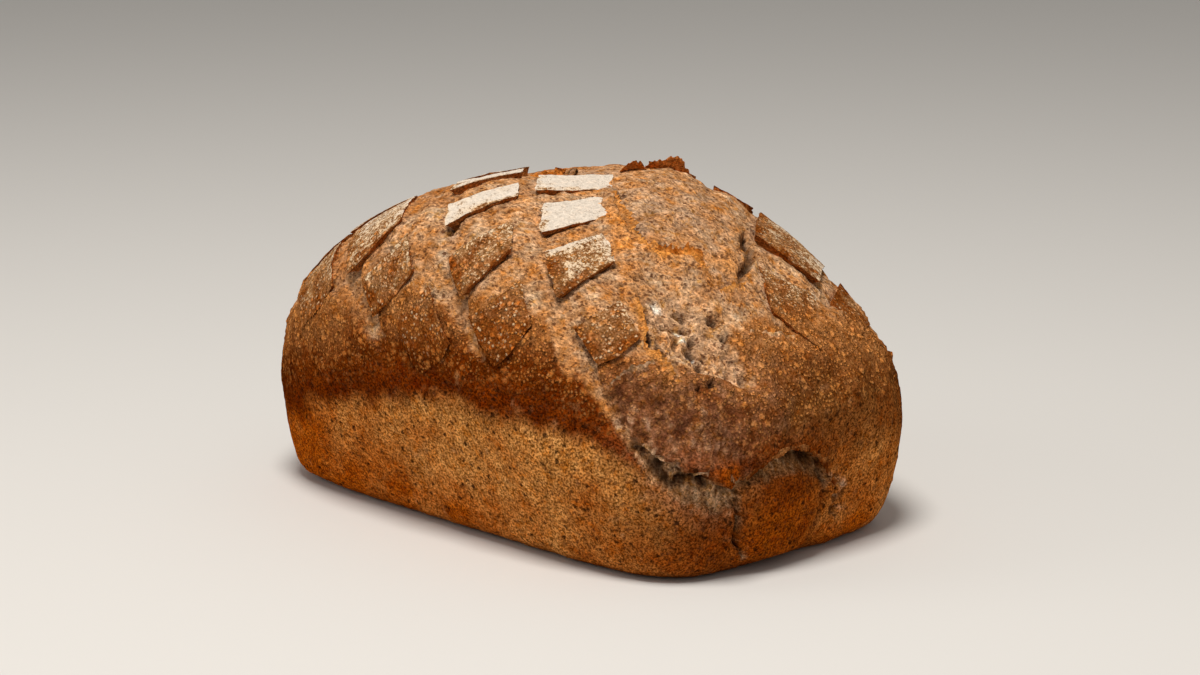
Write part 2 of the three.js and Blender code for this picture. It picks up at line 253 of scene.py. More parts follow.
# %% Rows of plates
# The lists give one value for each plate, from the ridge down the near side.
ROWS = [
    dict(across=-105.0, lean=0.0, half=12.0, narrows=0.0, pitch=27.0, lift=0.5,
         down=[14.0, 41.0], deep=[12.0, 9.0], skew=[0.1, 0.1], flour=[0.4, 0.15]),
    dict(across=-71.0, lean=0.18, half=17.0, narrows=0.085, pitch=27.0, lift=0.9,
         down=[16.0, 43.0, 69.0], deep=[12.0, 7.5, 9.5], skew=[-0.15, 0.0, 0.1], flour=[0.62, 0.36, 0.14]),
    dict(across=-31.0, lean=0.0, half=12.0, narrows=0.03, pitch=26.5, lift=1.1,
         down=[8.0, 34.4, 61.0, 86.5, 109.0], deep=[8.0, 5.8, 7.6, 8.8, 6.0],
         skew=[-0.4, -0.43, -0.31, -0.06, 0.0], flour=[0.95, 0.86, 0.4, 0.26, 0.15]),
    dict(across=-1.5, lean=-0.03, half=13.8, narrows=0.088, pitch=28.0, lift=1.1,
         down=[17.5, 43.5, 72.0, 104.0], deep=[8.6, 9.2, 9.6, 8.8],
         skew=[-0.4, -0.68, -0.72, -0.53], flour=[1.05, 1.05, 0.58, 0.34]),
    dict(across=31.0, lean=0.0, half=8.0, narrows=0.0, pitch=27.0, lift=0.8,
         down=[-36.0], deep=[9.0], skew=[0.0], flour=[0.7]),
    dict(across=54.0, lean=0.0, half=8.0, narrows=0.0, pitch=27.0, lift=0.1,
         down=[-28.0], deep=[8.0], skew=[0.2], flour=[0.3]),
    dict(across=79.5, lean=0.0, half=15.0, narrows=0.0, pitch=36.0, lift=1.3,
         down=[3.5, 44.0], deep=[15.5, 12.0], skew=[0.0, -0.5], flour=[0.52, 0.42]),
    dict(across=113.0, lean=0.0, half=10.0, narrows=0.0, pitch=28.0, lift=0.3,
         down=[9.0], deep=[9.0], skew=[0.0], flour=[0.2]),
]
# Row and step of the plates that the burst tore away.
TORN_AWAY = [(3, -1), (3, -2)]
PLATE_AROUND, PLATE_ALONG, PLACE_CHANCE = 97.0, 94.0, 0.6
FIRST_SEED, ROW_SEEDS = 40, 20
LIFT_AT_RIDGE, LIFT_GAIN, LIFT_SPAN = 0.6, 0.8, (25, 70)
FAR_STEPS, FAR_DEEP, FAR_SKEW, FAR_LIFT = 8, 9.0, -0.2, 0.4
FAR_FLOUR, FAR_FLOUR_LOSS, FAR_FLOUR_SPAN = 0.9, 0.6, (30, 85)


def row_middle(row, down):
    """Across of a row's middle line, at a place down the row."""
    return row["across"] + row["lean"] * (down - row["down"][0])


plates = []
for number, row in enumerate(ROWS):
    for step in range(-FAR_STEPS, len(row["down"])):
        usual = row["down"][0] + row["pitch"] * step
        down = (row["down"][step] if step >= 0 else usual) + PLACE_CHANCE * spread(number, step)
        across = row_middle(row, down)
        along, around = lattice(across, down)
        beyond = abs(around) > PLATE_AROUND or abs(along) > PLATE_ALONG
        if beyond or (number, step) in TORN_AWAY:
            continue
        half = row["half"] - row["narrows"] * abs(around)
        lift = row["lift"] * (LIFT_AT_RIDGE + LIFT_GAIN * ease(abs(around), *LIFT_SPAN))
        plate = dict(across=across, down=down, half=half, seed=FIRST_SEED + ROW_SEEDS * number + step)
        if step >= 0:
            plate.update(deep=row["deep"][step], skew=row["skew"][step], lift=lift, flour=row["flour"][step])
        else:
            flour = FAR_FLOUR - FAR_FLOUR_LOSS * ease(abs(around), *FAR_FLOUR_SPAN)
            plate.update(deep=FAR_DEEP, skew=FAR_SKEW, lift=min(FAR_LIFT, lift), flour=flour)
        plates.append(plate)
print(len(plates), "scored plates")


def plate_share(plate, across, down):
    """Place of lattice points in a plate: -1 to 1 across it and down it."""
    u = (across - plate["across"]) / plate["half"]
    v = (down - plate["down"] - plate["skew"] * (across - plate["across"])) / plate["deep"]
    return u, v


# %% [markdown]
# The opened zone ends on the flanks. Its rim is drawn back where a row of plates runs out, so the rim
# plates grow into the crust, and bare crumb reaches down between the rows in fingers.

# %% The opened zone
ZONE_AROUND, ZONE_AROUND_AT_BURST, BURST_SPAN = 100.0, 106.0, (40, 90)
ZONE_ALONG, ZONE_ALONG_AT_BURST, ZONE_FADE = 102.0, 97.0, 12.0
ROW_DRAW_BACK, ROW_FADE_FROM, ROW_FADE_TO = 16.0, 0.5, 4.0


def in_row(across, down):
    """1 inside a row of plates and 0 between the rows."""
    inside = 0 * across
    for row in ROWS:
        half = row["half"] - row["narrows"] * np.abs(across - down) / ROOT_TWO
        apart = np.abs(across - row_middle(row, down))
        inside = np.maximum(inside, 1 - ease(apart, half + ROW_FADE_FROM, half + ROW_FADE_TO))
    return inside


def scored(along, around, draw_back=ROW_DRAW_BACK):
    """Share of the opened zone: 1 on the scored top, 0 on whole crust."""
    reach = ZONE_AROUND + (ZONE_AROUND_AT_BURST - ZONE_AROUND) * ease(along, *BURST_SPAN)
    reach = reach - draw_back * in_row(*lattice(along, around))
    end = np.where(along > 0, ZONE_ALONG_AT_BURST, ZONE_ALONG)
    sideways = 1 - ease(np.abs(around), reach - ZONE_FADE, reach)
    endways = 1 - ease(np.abs(along), end - ZONE_FADE, end)
    return sideways * endways


rim_probe = np.arange(0.0, 140.0)
print("zone at mid length ends, mm around:", int((scored(0 * rim_probe, -rim_probe) > 0.5).sum()))

# %% [markdown]
# Tears and cracks
#
# Steam tore the loaf at its near end. Boolean cuts could open such cracks, but they leave clean walls and
# a messy mesh. Here each tear is a short path of a few listed points, either unrolled on the top or in
# space on the flank. `to_path` tells how far any point lies from a path, how far along it is and on which
# side, and that is all a crack, a lip or a smear of colour needs.

# %% Paths on the crust
LIP = [(23, -8), (29, -14), (38, -23), (48, -31), (55, -34), (60, -31), (66, -23), (70, -21)]
RIGHT_LIP = [(79, -24), (80, -10), (78, 4)]
LIP_FLAP = [(57, -32), (63, -27), (67, -22), (71, -20)]
BURST_CRACK = [(54, 31), (62, 24), (68, 18), (72, 9), (77, -4)]
PIT_RIM = [(69, -57), (76, -67), (83, -78), (91, -84), (99, -95)]
CRUMB_FINGER = [(74, -65, 63), (81, -64, 56), (89, -61, 45)]
TEAR = [(82, -62, 56), (93, -55, 53), (104, -43, 50)]
TEAR_SIDE = [(74, -65, 63), (81, -64, 56), (89, -61, 45), (96, -56, 38), (103, -47, 32)]
CORNER_CRACK = [(89, -61, 45), (96, -56, 38), (103, -47, 32), (106, -38, 28), (107, -34, 30)]
FOLD_CRACK = [(107, -32, 32), (109, -24, 35), (110, -18, 37), (110, -9, 36), (108, 3, 31), (107, 8, 25)]
FOLD_TAIL = [(107, 6, 28), (107, 13, 25), (106, 17, 21), (105, 15, 16), (103, 17, 10)]
FOLD_CREASE = [(108, 4, 28), (106, 7, 18), (103, 1, 6)]
CORNER_SPLIT = [(107, -33, 31), (105, -32, 21), (103, -31, 14), (102, -25, 6)]


def smooth_path(points, steps=6):
    """Points of a smooth curve through a few points."""
    points = [np.array(point, float) for point in points]
    points = [2 * points[0] - points[1]] + points + [2 * points[-1] - points[-2]]
    curve = []
    for a, b, c, d in zip(points, points[1:], points[2:], points[3:]):
        for t in np.linspace(0, 1, steps, endpoint=False):
            curve.append(0.5 * (2 * b + (c - a) * t + (2 * a - 5 * b + 4 * c - d) * t**2
                                + (3 * b - a - 3 * c + d) * t**3))
    curve.append(points[-2])
    return np.array(curve)


def on_form(points, steps=6):
    """A smooth path on the form through a few points, given unrolled or in space."""
    path = smooth_path(points, steps)
    return roll(path[:, 0], path[:, 1]) if path.shape[1] == 2 else push_out(path)


def to_path(points, path):
    """Distance to a path, share along it, and distance to its left as seen from outside."""
    best = np.full(len(points), np.inf)
    share = np.zeros(len(points))
    side = np.zeros(len(points))
    for index, (a, b) in enumerate(zip(path[:-1], path[1:])):
        way = b - a
        left = np.cross(outward(((a + b) / 2)[None])[0], way / np.linalg.norm(way))
        part = np.clip((points - a) @ way / (way @ way), 0, 1)
        off = points - a - part[:, None] * way
        apart = np.linalg.norm(off, axis=1)
        nearer = apart < best
        best = np.where(nearer, apart, best)
        share = np.where(nearer, (index + part) / (len(path) - 1), share)
        side = np.where(nearer, off @ left, side)
    return best, share, side


crack_steps = np.linalg.norm(np.diff(on_form(CORNER_CRACK), axis=0), axis=1)
print("corner crack, mm long:", round(crack_steps.sum(), 1))

# %% Openings along a path
TIP, CRACK_TIP_WIDTH = 0.02, 0.25
CRACK_WALL, CRACK_MOUTH, CRACK_SHADE = 0.9, 1.2, 2.4
SHELF_REACH, SHELF_EDGE, SHELF_FADE_FROM, SHELF_FADE_TO = 5.0, (-0.8, 0.4), 6.0, 10.0
SPOT_EDGE = (0.4, 1.0)


def hump(distance, reach):
    """1 at a place and softly down to nothing at about twice the reach."""
    return np.exp(-((distance / reach) ** 2))


def taper(share, power=0.7):
    """Little at the ends of a path and 1 in its middle."""
    return np.sin(np.pi * np.clip(share, TIP, 1 - TIP)) ** power


def opening(points, route, half_width, ramp):
    """Shares of a crack: its depth, the painted shade under its top, and the crust that swells above and
    frays below it.

    The crack is sheer at the upper side and `ramp` says how far its floor climbs to the lower side.
    """
    apart, share, side = to_path(points, on_form(route))
    width = half_width * (CRACK_TIP_WIDTH + (1 - CRACK_TIP_WIDTH) * taper(share))
    into = width - side
    past = into - 2 * width
    close = taper(share) * (1 - ease(apart, width + SHELF_FADE_FROM, width + SHELF_FADE_TO))
    inside = ease(into, 0, CRACK_WALL) * ease(2 * width - into, 0, CRACK_WALL)
    inside = inside * (1 - ease(apart, width, width + CRACK_MOUTH))
    crack = SimpleNamespace()
    crack.depth = inside * (1 - ramp * np.clip(into / (2 * width), 0, 1))
    crack.top = inside * hump(into, CRACK_SHADE)
    crack.above = close * ease(-into, *SHELF_EDGE) * hump(into, SHELF_REACH)
    crack.below = close * ease(past, *SHELF_EDGE) * hump(past, SHELF_REACH)
    return crack


def spots(points, places):
    """Share of a few round spots, each given by its place, unrolled or in space, and its radius."""
    share = np.zeros(len(points))
    for *place, radius in places:
        middle = np.array([place], float)
        middle = roll(*middle.T) if len(place) == 2 else push_out(middle)
        apart = np.linalg.norm(points - middle, axis=1)
        share = np.maximum(share, 1 - ease(apart / radius, *SPOT_EDGE))
    return share


print("taper at a tip and in the middle:", np.round(taper(np.array([0.0, 0.5])), 2))

# %% [markdown]
# Relief
#
# The body is one grid, and its relief is one number for each point: how far it stands out from the form.
# `survey` works out every mask at any points it is given, so the same rules shape the body, hold up the
# torn edges and colour the crust. A mask is a share from 0 to 1 of one feature.

# %% Marks of the rows and plates
VALLEY_LEFT, VALLEY_RIGHT = 9.0, 4.0
BED_SPAN, GAP_REACH, GAP_END = (0.8, 0.98), 2.5, (0.9, 1.3)


def row_valleys(mask):
    """The furrow along the lower left side of each row."""
    valley = np.zeros(len(mask.points))
    for row in ROWS:
        edge = row_middle(row, mask.down) - row["half"] + row["narrows"] * np.abs(mask.around)
        width = np.where(mask.across < edge, VALLEY_LEFT, VALLEY_RIGHT)
        valley = np.maximum(valley, hump(mask.across - edge, width))
    return valley


def plate_marks(mask):
    """The ground under the plates, and the gaps opened at their left and lower edges."""
    covered = np.zeros(len(mask.points))
    gap = np.zeros(len(mask.points))
    for plate in plates:
        u, v = plate_share(plate, mask.across, mask.down)
        inside = (1 - ease(np.abs(u), *BED_SPAN)) * (1 - ease(np.abs(v), *BED_SPAN))
        covered = np.maximum(covered, inside)
        left = hump(np.maximum(0, -1 - u) * plate["half"], GAP_REACH) * (u < -BED_SPAN[0])
        below = hump(np.maximum(0, v - 1) * plate["deep"], GAP_REACH) * (v > BED_SPAN[0])
        left = left * (1 - ease(np.abs(v), *GAP_END))
        below = below * (1 - ease(np.abs(u), *GAP_END))
        gap = np.maximum(gap, min(1, plate["lift"]) * np.maximum(left, below))
    return covered, gap


print(len(ROWS), "furrows beside the rows")

# %% Relief of the opened top
CRUMB_DEPTH, VALLEY_DEPTH, GAP_DEPTH, BEDDING = 0.8, 1.4, 0.25, 1.2
BURST = dict(across=34.0, down=30.0, half_across=27.0, half_down=40.0)
DIP = dict(across=-3.0, down=-14.0, half_across=24.0, half_down=21.0)
PIT = dict(across=18.0, down=107.0, half_across=13.0, half_down=25.0)
BURST_RISE, DIP_DEPTH, PIT_DEPTH, LIP_STEP = 4.2, 4.5, 4.5, 2.6
CRUMB_ROUGH, FIBRE_RISE, PIT_RIDGES = 0.5, 0.3, 1.7
BURST_CRACK_DEPTH, HOLE_DEPTH = 4.5, 3.5
RIM_JAGS, FINGER_SHARE, FINGER_REACH = 4.0, 0.95, 2.2
PIT_CRUMB, PIT_RIM_REACH, PIT_RIM_EDGE, PIT_RIM_WIDTH = (0.36, 0.72), 18.0, (-0.6, 1.0), 3.5
LIP_FADE, LIP_REACH, LIP_EDGE = (7, 12), 6.0, (-0.5, 0.4)
UNDER_LIP_REACH, UNDER_LIP_EDGE = 5.0, (-0.3, 0.6)
STEEP_SPAN = (10, 60)
FIBRE_LENGTH, FIBRE_WIDTH = 7.0, 1.3
HOLES = [(75, -63, 2.6), (80, -72, 2.2), (86, -44, 2.6), (92, -51, 1.8), (95, -75, 2.2), (99, -83, 2.4),
         (98, -89, 1.5), (27, -9, 2.6), (23, -5, 2.0), (44, -26, 2.0)]


def bump(mask, shape):
    """A soft round swell on the lattice."""
    u = (mask.across - shape["across"]) / shape["half_across"]
    v = (mask.down - shape["down"]) / shape["half_down"]
    return np.exp(-((u * u + v * v) ** 1.5))


def opened_top(mask, loose):
    """Masks of the scored and burst top, and its height above the form."""
    points = mask.points
    jagged = RIM_JAGS * noise(points, 16, 5)
    mask.zone = scored(mask.along + jagged, mask.around + jagged)
    finger = to_path(loose, on_form(CRUMB_FINGER))[0]
    mask.zone = np.maximum(mask.zone, FINGER_SHARE * hump(finger, FINGER_REACH))
    mask.burst, mask.pit = bump(mask, BURST), bump(mask, PIT)
    mask.zone = np.maximum(mask.zone, ease(mask.pit + 0.2 * noise(points, 9, 6), *PIT_CRUMB))
    apart, share, side = to_path(loose, on_form(PIT_RIM))
    mask.pit = mask.pit * np.where(apart < PIT_RIM_REACH, ease(side, *PIT_RIM_EDGE), 1)
    mask.rim = taper(share) * hump(apart, PIT_RIM_WIDTH) * (side < PIT_RIM_EDGE[1])
    apart, share, side = to_path(loose, on_form(LIP))
    near = taper(share, 0.5) * (1 - ease(apart, *LIP_FADE))
    mask.lip = near * hump(side, LIP_REACH) * (1 - ease(side, *LIP_EDGE))
    mask.under_lip = near * hump(side, UNDER_LIP_REACH) * ease(side, *UNDER_LIP_EDGE)
    mask.burst_crack = opening(shake(loose, 3.5, 1.5, 97), BURST_CRACK, half_width=2.7, ramp=0.3).depth
    mask.holes = spots(loose, HOLES)
    covered, mask.gap = plate_marks(mask)
    steep = ease(np.abs(mask.around), *STEEP_SPAN)
    height = -CRUMB_DEPTH - VALLEY_DEPTH * steep * row_valleys(mask) - GAP_DEPTH * mask.gap
    height += BURST_RISE * mask.burst - PIT_DEPTH * mask.pit - DIP_DEPTH * bump(mask, DIP)
    height += LIP_STEP * (mask.lip - mask.under_lip)
    fibres = np.stack([mask.across / FIBRE_LENGTH, mask.down / FIBRE_WIDTH, 0 * mask.down], 1)
    mask.pulled = noise(fibres, 1.0, 21)
    height += CRUMB_ROUGH * rough(points, 5, 3, 31) + FIBRE_RISE * (1 + mask.burst) * mask.pulled
    mask.ridges = 1 - 2.4 * np.abs(rough(points, 7, 3, 32))
    height += PIT_RIDGES * mask.pit * mask.ridges
    bedding = BEDDING * covered * scored(mask.along, mask.around, draw_back=0)
    return mask.zone * height - bedding - BURST_CRACK_DEPTH * mask.burst_crack - HOLE_DEPTH * mask.holes


print(len(HOLES), "holes in the torn crumb")

# %% [markdown]
# Below the burst the flank tore too: a pebbly mauve patch, a wide crack round the corner with strands of
# crumb stretched across it, and a fold of dough tucked into the end with a ragged crack round it. They are
# relief like the rest, so the crust can swell above a crack and fray below it.

# %% Relief of the flank and its cracks
TEAR_WIDTH, TEAR_DEPTH, TEAR_ROUGH, TEAR_LUMPS, TEAR_EDGE = 12.0, 1.2, 0.8, 1.3, (-1, 2)
CORNER_DEPTH, FOLD_DEPTH, SPLIT_DEPTH, TAIL_SHARE = 7.0, 5.0, 6.0, 0.7
CORNER_SHELF, FOLD_SHELF, NUB_RISE, CREASE_DEPTH, BITS_RISE = 2.2, 1.6, 1.2, 2.4, 1.2
POCKET_DEPTH, CRUMB_LUMP_RISE, STRAND_RISE, CRACK_ROUGH = 2.5, 2.2, 1.2, 1.6
FOLD_Y, FOLD_Z, FOLD_HALF, FOLD_RISE, FOLD_FROM_X = -12.0, 16.0, 18.0, 3.4, 85.0
STRAND_SIZE = np.array([1.4, 1.4, 9.0])
# Pockets deepen the cracks and are painted dark there as painted shade.
POCKETS = [(94, -58, 40, 4.2), (97, -56, 35, 3.2), (104, -46, 36, 5.2), (101, -51, 36, 3.0),
           (108, -31, 35, 3.0), (110, -20, 39, 3.2), (110, -12, 39, 4.0), (110, -2, 36, 4.2),
           (108, 5, 30, 3.4)]
CRUMB_LUMPS = [(98, -55, 38, 3.6), (103, -47, 29, 3.6), (107, -35, 27, 2.6), (107, 9, 24, 3.0)]
NUB = [(107, -38, 36, 7.0)]
TORN_BITS = [(107, 10, 27, 2.6), (107, 14, 25, 2.4), (106, 17, 23, 2.2), (106, 15, 18, 2.4),
             (105, 18, 15, 2.0)]


def tear_share(points):
    """Share of the torn patch above the near corner."""
    near = np.exp(-((to_path(points, on_form(TEAR))[0] / TEAR_WIDTH) ** 4))
    return near * ease(to_path(points, on_form(TEAR_SIDE))[2], *TEAR_EDGE)


def torn_flank(mask, loose):
    """Masks of the near end's tear, cracks and folded dough, and their height."""
    points = mask.points
    mask.tear = tear_share(loose)
    corner = opening(loose, CORNER_CRACK, half_width=5.2, ramp=0.45)
    ring = opening(loose, FOLD_CRACK, half_width=3.9, ramp=0.8)
    split = opening(loose, CORNER_SPLIT, half_width=1.3, ramp=0.0)
    tail = opening(shake(loose, 3.5, 2.6, 98), FOLD_TAIL, half_width=1.3, ramp=0.0).depth
    mask.crease = opening(loose, FOLD_CREASE, half_width=2.2, ramp=0.6).depth
    mask.ring = np.maximum(ring.depth, TAIL_SHARE * tail)
    mask.split = split.depth
    mask.cracked = np.maximum(np.maximum(corner.depth, mask.ring), mask.split)
    mask.crack_top = np.maximum(corner.top, ring.top)
    mask.shelf = np.maximum(corner.above, ring.above)
    mask.frayed = corner.below
    mask.bits = spots(shake(loose, 2.5, 1.6, 99), TORN_BITS) * (1 - tail)
    mask.pockets = mask.cracked * spots(loose, POCKETS)
    mask.crumb_lumps = mask.cracked * spots(loose, CRUMB_LUMPS)
    mask.nub = spots(loose, NUB) * (1 - mask.cracked)
    fold_y = (points[:, 1] - FOLD_Y) / FOLD_HALF
    fold_z = (points[:, 2] - FOLD_Z) / FOLD_HALF
    mask.fold = np.exp(-((fold_y**2 + fold_z**2) ** 2.5)) * (points[:, 0] > FOLD_FROM_X)
    apart, chance = cells(shake(points, 3, 1.6, 35), 3.4, 52)
    mask.lumps = (1 - ease(apart, 0.05, 0.75)) * (0.5 + 0.5 * chance)
    height = mask.tear * (TEAR_ROUGH * rough(points, 6, 3, 34) + TEAR_LUMPS * mask.lumps - TEAR_DEPTH)
    height += FOLD_RISE * mask.fold + CORNER_SHELF * corner.above + FOLD_SHELF * ring.above
    height += NUB_RISE * mask.nub - CREASE_DEPTH * mask.crease + BITS_RISE * mask.bits
    depth = np.maximum(CORNER_DEPTH * corner.depth, FOLD_DEPTH * mask.ring)
    depth = np.maximum(depth, SPLIT_DEPTH * mask.split)
    depth += POCKET_DEPTH * mask.pockets - CRUMB_LUMP_RISE * mask.crumb_lumps
    mask.strands = noise(points / STRAND_SIZE, 1.0, 22)
    stretched = STRAND_RISE * mask.strands + CRACK_ROUGH * rough(points, 6, 3, 33)
    return height - depth + mask.cracked * stretched


print(len(POCKETS), "dark pockets and", len(CRUMB_LUMPS), "crumb lumps in the cracks")

# %% [markdown]
# Over all of it lies the grain: burst bubbles in the crumb, rough blisters on the risen crust, and the
# shallow dents that the tin's walls leave. The near end is also pleated where the burst drew it up. The
# bottom edge is a little wavy and the bottom stays flat.

# %% Grain and the whole survey
RISEN_SPAN, NEAR_END_SPAN, BASE_FADE = (40, 56), (60, 95), (0.5, 7)
PORE_SIZE, PORE_IN_CRUMB, PORE_IN_CRUST = 4.0, 0.9, 0.45
BLISTER_SIZE, BLISTER_LOW, BLISTER_RISEN = 2.6, 0.2, 0.45
PLEAT_SIZE = np.array([9.0, 7.0, 26.0])
PLEAT_RISE, END_ROUGH, END_BLISTER = 0.9, 0.5, 0.6
SWELLS, DENTS, DENTS_RISEN, FINE_ROUGH, SETTLE = 0.8, 0.45, 0.3, 0.2, 0.35


def survey(points):
    """Every mask at the points, and the relief of the whole loaf there."""
    mask = SimpleNamespace(points=points)
    mask.along, mask.around = unroll(points)
    mask.across, mask.down = lattice(mask.along, mask.around)
    loose = shake(shake(points, 6, 1.4, 91), 2.5, 0.5, 94)
    height = opened_top(mask, loose) + torn_flank(mask, loose)
    bare = np.clip(mask.zone, 0, 1)
    risen = ease(points[:, 2], *RISEN_SPAN)
    apart, chance = cells(points, PORE_SIZE, 41)
    mask.pores = (1 - ease(apart, 0.1, 0.32)) * (chance > 0.5)
    height -= mask.pores * (PORE_IN_CRUMB * bare + PORE_IN_CRUST * (1 - bare))
    apart, chance = cells(points, BLISTER_SIZE, 51)
    blisters = (1 - ease(apart, 0.0, 0.65)) * (0.4 + 0.6 * chance)
    height += (1 - bare) * (BLISTER_LOW + BLISTER_RISEN * risen) * blisters
    near_end = ease(points[:, 0], *NEAR_END_SPAN) * risen * (1 - bare)
    pleats = PLEAT_RISE * noise(points / PLEAT_SIZE, 1.0, 67)
    height += near_end * (END_BLISTER * blisters + END_ROUGH * rough(points, 8, 3, 66) + pleats)
    height += SWELLS * noise(points, 34, 61) + (DENTS + DENTS_RISEN * risen) * rough(points, 11, 3, 62)
    height += FINE_ROUGH * rough(points, 2.4, 2, 63) - SETTLE
    mask.height = height * ease(points[:, 2], *BASE_FADE)
    return mask


print("corner crack, mm deep:", round(-float(survey(on_form(CORNER_CRACK)).height.min()), 1))

# %% [markdown]
# The body
#
# A ball would crowd its points at two poles, and an ordinary cube would waste them on the flat base. So
# the body starts as a box with a grid on each face and none below, and is pushed out to the form. The
# grid is crowded towards the torn end and the cracked side, where the finest relief is, and towards the
# bottom edge.

# %% Grid boxes
def grid_face(origin, edge_a, edge_b, cells_a, cells_b):
    """Points and quads of one flat grid."""
    a = np.linspace(0, 1, cells_a + 1)[:, None, None]
    b = np.linspace(0, 1, cells_b + 1)[None, :, None]
    points = np.array(origin, float) + a * np.array(edge_a, float) + b * np.array(edge_b, float)
    index = np.arange((cells_a + 1) * (cells_b + 1)).reshape(cells_a + 1, cells_b + 1)
    quads = np.stack([index[:-1, :-1], index[1:, :-1], index[1:, 1:], index[:-1, 1:]], -1)
    return points.reshape(-1, 3), quads.reshape(-1, 4)


def grid_box(nx, ny, nz, bottom=True):
    """Points from -1 to 1 and outward quads of a box with a grid on its faces."""
    faces = [
        grid_face((-1, -1, 1), (2, 0, 0), (0, 2, 0), nx, ny),
        grid_face((1, -1, -1), (0, 2, 0), (0, 0, 2), ny, nz),
        grid_face((-1, -1, -1), (0, 0, 2), (0, 2, 0), nz, ny),
        grid_face((-1, 1, -1), (0, 0, 2), (2, 0, 0), nz, nx),
        grid_face((-1, -1, -1), (2, 0, 0), (0, 0, 2), nx, nz),
    ]
    if bottom:
        faces.append(grid_face((-1, -1, -1), (0, 2, 0), (2, 0, 0), ny, nx))
    points, quads, count = [], [], 0
    for face_points, face_quads in faces:
        points.append(face_points)
        quads.append(face_quads + count)
        count += len(face_points)
    points = np.concatenate(points)
    keys = np.round(points * 1e5).astype(np.int64)
    _, first, same = np.unique(keys, axis=0, return_index=True, return_inverse=True)
    return points[first], same.reshape(-1)[np.concatenate(quads)]


print("quads of a 3 by 2 by 1 grid box:", len(grid_box(3, 2, 1)[1]))

# %% The body
CELLS_X, CELLS_Y, CELLS_Z = 206, 140, 94
CROWD_X, CROWD_Y, LEVEL_POWER = 0.17, -0.14, 1.5
BOX_FLOOR = -0.99999
WAVY_SPAN, WAVE_RISE, WAVE_BULGE = (3, 9), 0.8, 0.9

body_box, body_quads = grid_box(CELLS_X, CELLS_Y, CELLS_Z, bottom=False)
start = body_box.copy()
start[:, 0] += CROWD_X * (1 - start[:, 0] ** 2)
start[:, 1] += CROWD_Y * (1 - start[:, 1] ** 2)
start = start * np.array([SHOULDER_LENGTH / 2, SHOULDER_WIDTH / 2, HEIGHT / 2])
start[:, 2] += HEIGHT / 2
low = start[:, 2] < SHOULDER
start[low, 2] = SHOULDER * (np.maximum(start[low, 2], 0) / SHOULDER) ** LEVEL_POWER
form = push_out(start)
rim = np.where(body_box[:, 2] < BOX_FLOOR)[0]
rim = rim[np.argsort(np.arctan2(form[rim, 1], form[rim, 0]))]
mask = survey(form)
shaped = form + outward(form) * mask.height[:, None]
sideways = form[:, :2] / np.linalg.norm(form[:, :2], axis=1, keepdims=True)
wavy = WAVE_RISE * noise(form, 12, 64) + WAVE_BULGE * np.maximum(0, noise(form, 5, 65))
wavy = wavy * (1 - ease(form[:, 2], *WAVY_SPAN))
shaped[:, :2] += sideways * wavy[:, None]
print(len(form), "body points")
print("relief from", round(mask.height.min(), 1), "to", round(mask.height.max(), 1), "mm")

# %% [markdown]
# Colour
#
# A crust's colour follows its baking: pale tan where the tin touched it, a dark band just above the tin's
# rim, orange brown on the dome, and pale crumb where it opened late. Image textures could carry that, but
# colours worked out at each mesh point follow the relief exactly and need no unwrapping. Each colour is
# laid over the last by a share, as a painter glazes.

# %% Colours of the crust
def colour(red, green, blue):
    """A screen colour, 0 to 255, as the linear light that shaders use."""
    share = np.array([red, green, blue]) / 255
    return np.where(share <= 0.04045, share / 12.92, ((share + 0.055) / 1.055) ** 2.4)


TIN_PALE = colour(195, 132, 69)
TIN_TAN = colour(166, 82, 14)
CRUST_DARK = colour(98, 38, 2)
CRUST_BROWN = colour(133, 60, 9)
CRUST_DOME = colour(194, 125, 69)
CORNER_BROWN = colour(112, 46, 2)
CRUMB_GOLD = colour(184, 125, 73)
CRUMB_PALE = colour(202, 166, 129)
CRUMB_BROWN = colour(158, 97, 48)
CRUMB_GREY = colour(178, 140, 107)
STRAND_PALE = colour(240, 192, 146)
CRACK_CRUMB = colour(198, 148, 102)
# painted shade: the near-black laid into the cracks, their pockets and the split
PAINTED_CRACK_SHADE = colour(42, 20, 6)
NUB_ORANGE = colour(134, 62, 10)
RING_BROWN = colour(124, 78, 38)
FOLD_ORANGE = colour(140, 66, 6)
TORN_ORANGE = colour(212, 137, 64)
TEAR_MAUVE = colour(137, 88, 58)
TEAR_PALE = colour(192, 145, 110)
TEAR_MAROON = colour(84, 42, 26)
# painted shade: the dark of holes, pores, the burst crack and the pit's hollows
HOLE_SHADE = colour(62, 44, 32)
# painted highlight: the pale colour of the glints on the pit's crumb
PAINTED_GLINT = colour(240, 228, 208)


def paint(base, other, share):
    """A colour with another laid over it by a share."""
    return base + (other - base) * np.clip(share, 0, 1)[:, None]


def flat(rgb, count):
    """One colour for many points."""
    return np.tile(rgb, (count, 1))


print("tan of the tin wall in linear light:", np.round(TIN_TAN, 3))

# %% Colour of whole crust
BAND_HIGH, BAND_HIGH_X, BAND_DROP, BAND_DROP_AT_BURST = 51.0, 35.0, 0.0016, 0.0029
BAND_BACK, BAND_ON_END, BACK_SPAN = 48.0, 40.0, (-40, 40)
END_SPAN_X, END_SPAN_Y, FAR_END_SPAN = (90, 106), (-32, -8), (97, 109)
TAN_SHARE, TAN_LOW, TAN_LEFT, TAN_MIDDLE_X, TAN_MIDDLE_Z = 0.46, 0.015, 0.006, 30.0, 22.0
NEAR_CORNER, CORNER_REACH = np.array([104.0, -38.0, 14.0]), 34.0
BLUSH, BLUSH_REACH = np.array([102.0, -36.0, 63.0]), 24.0


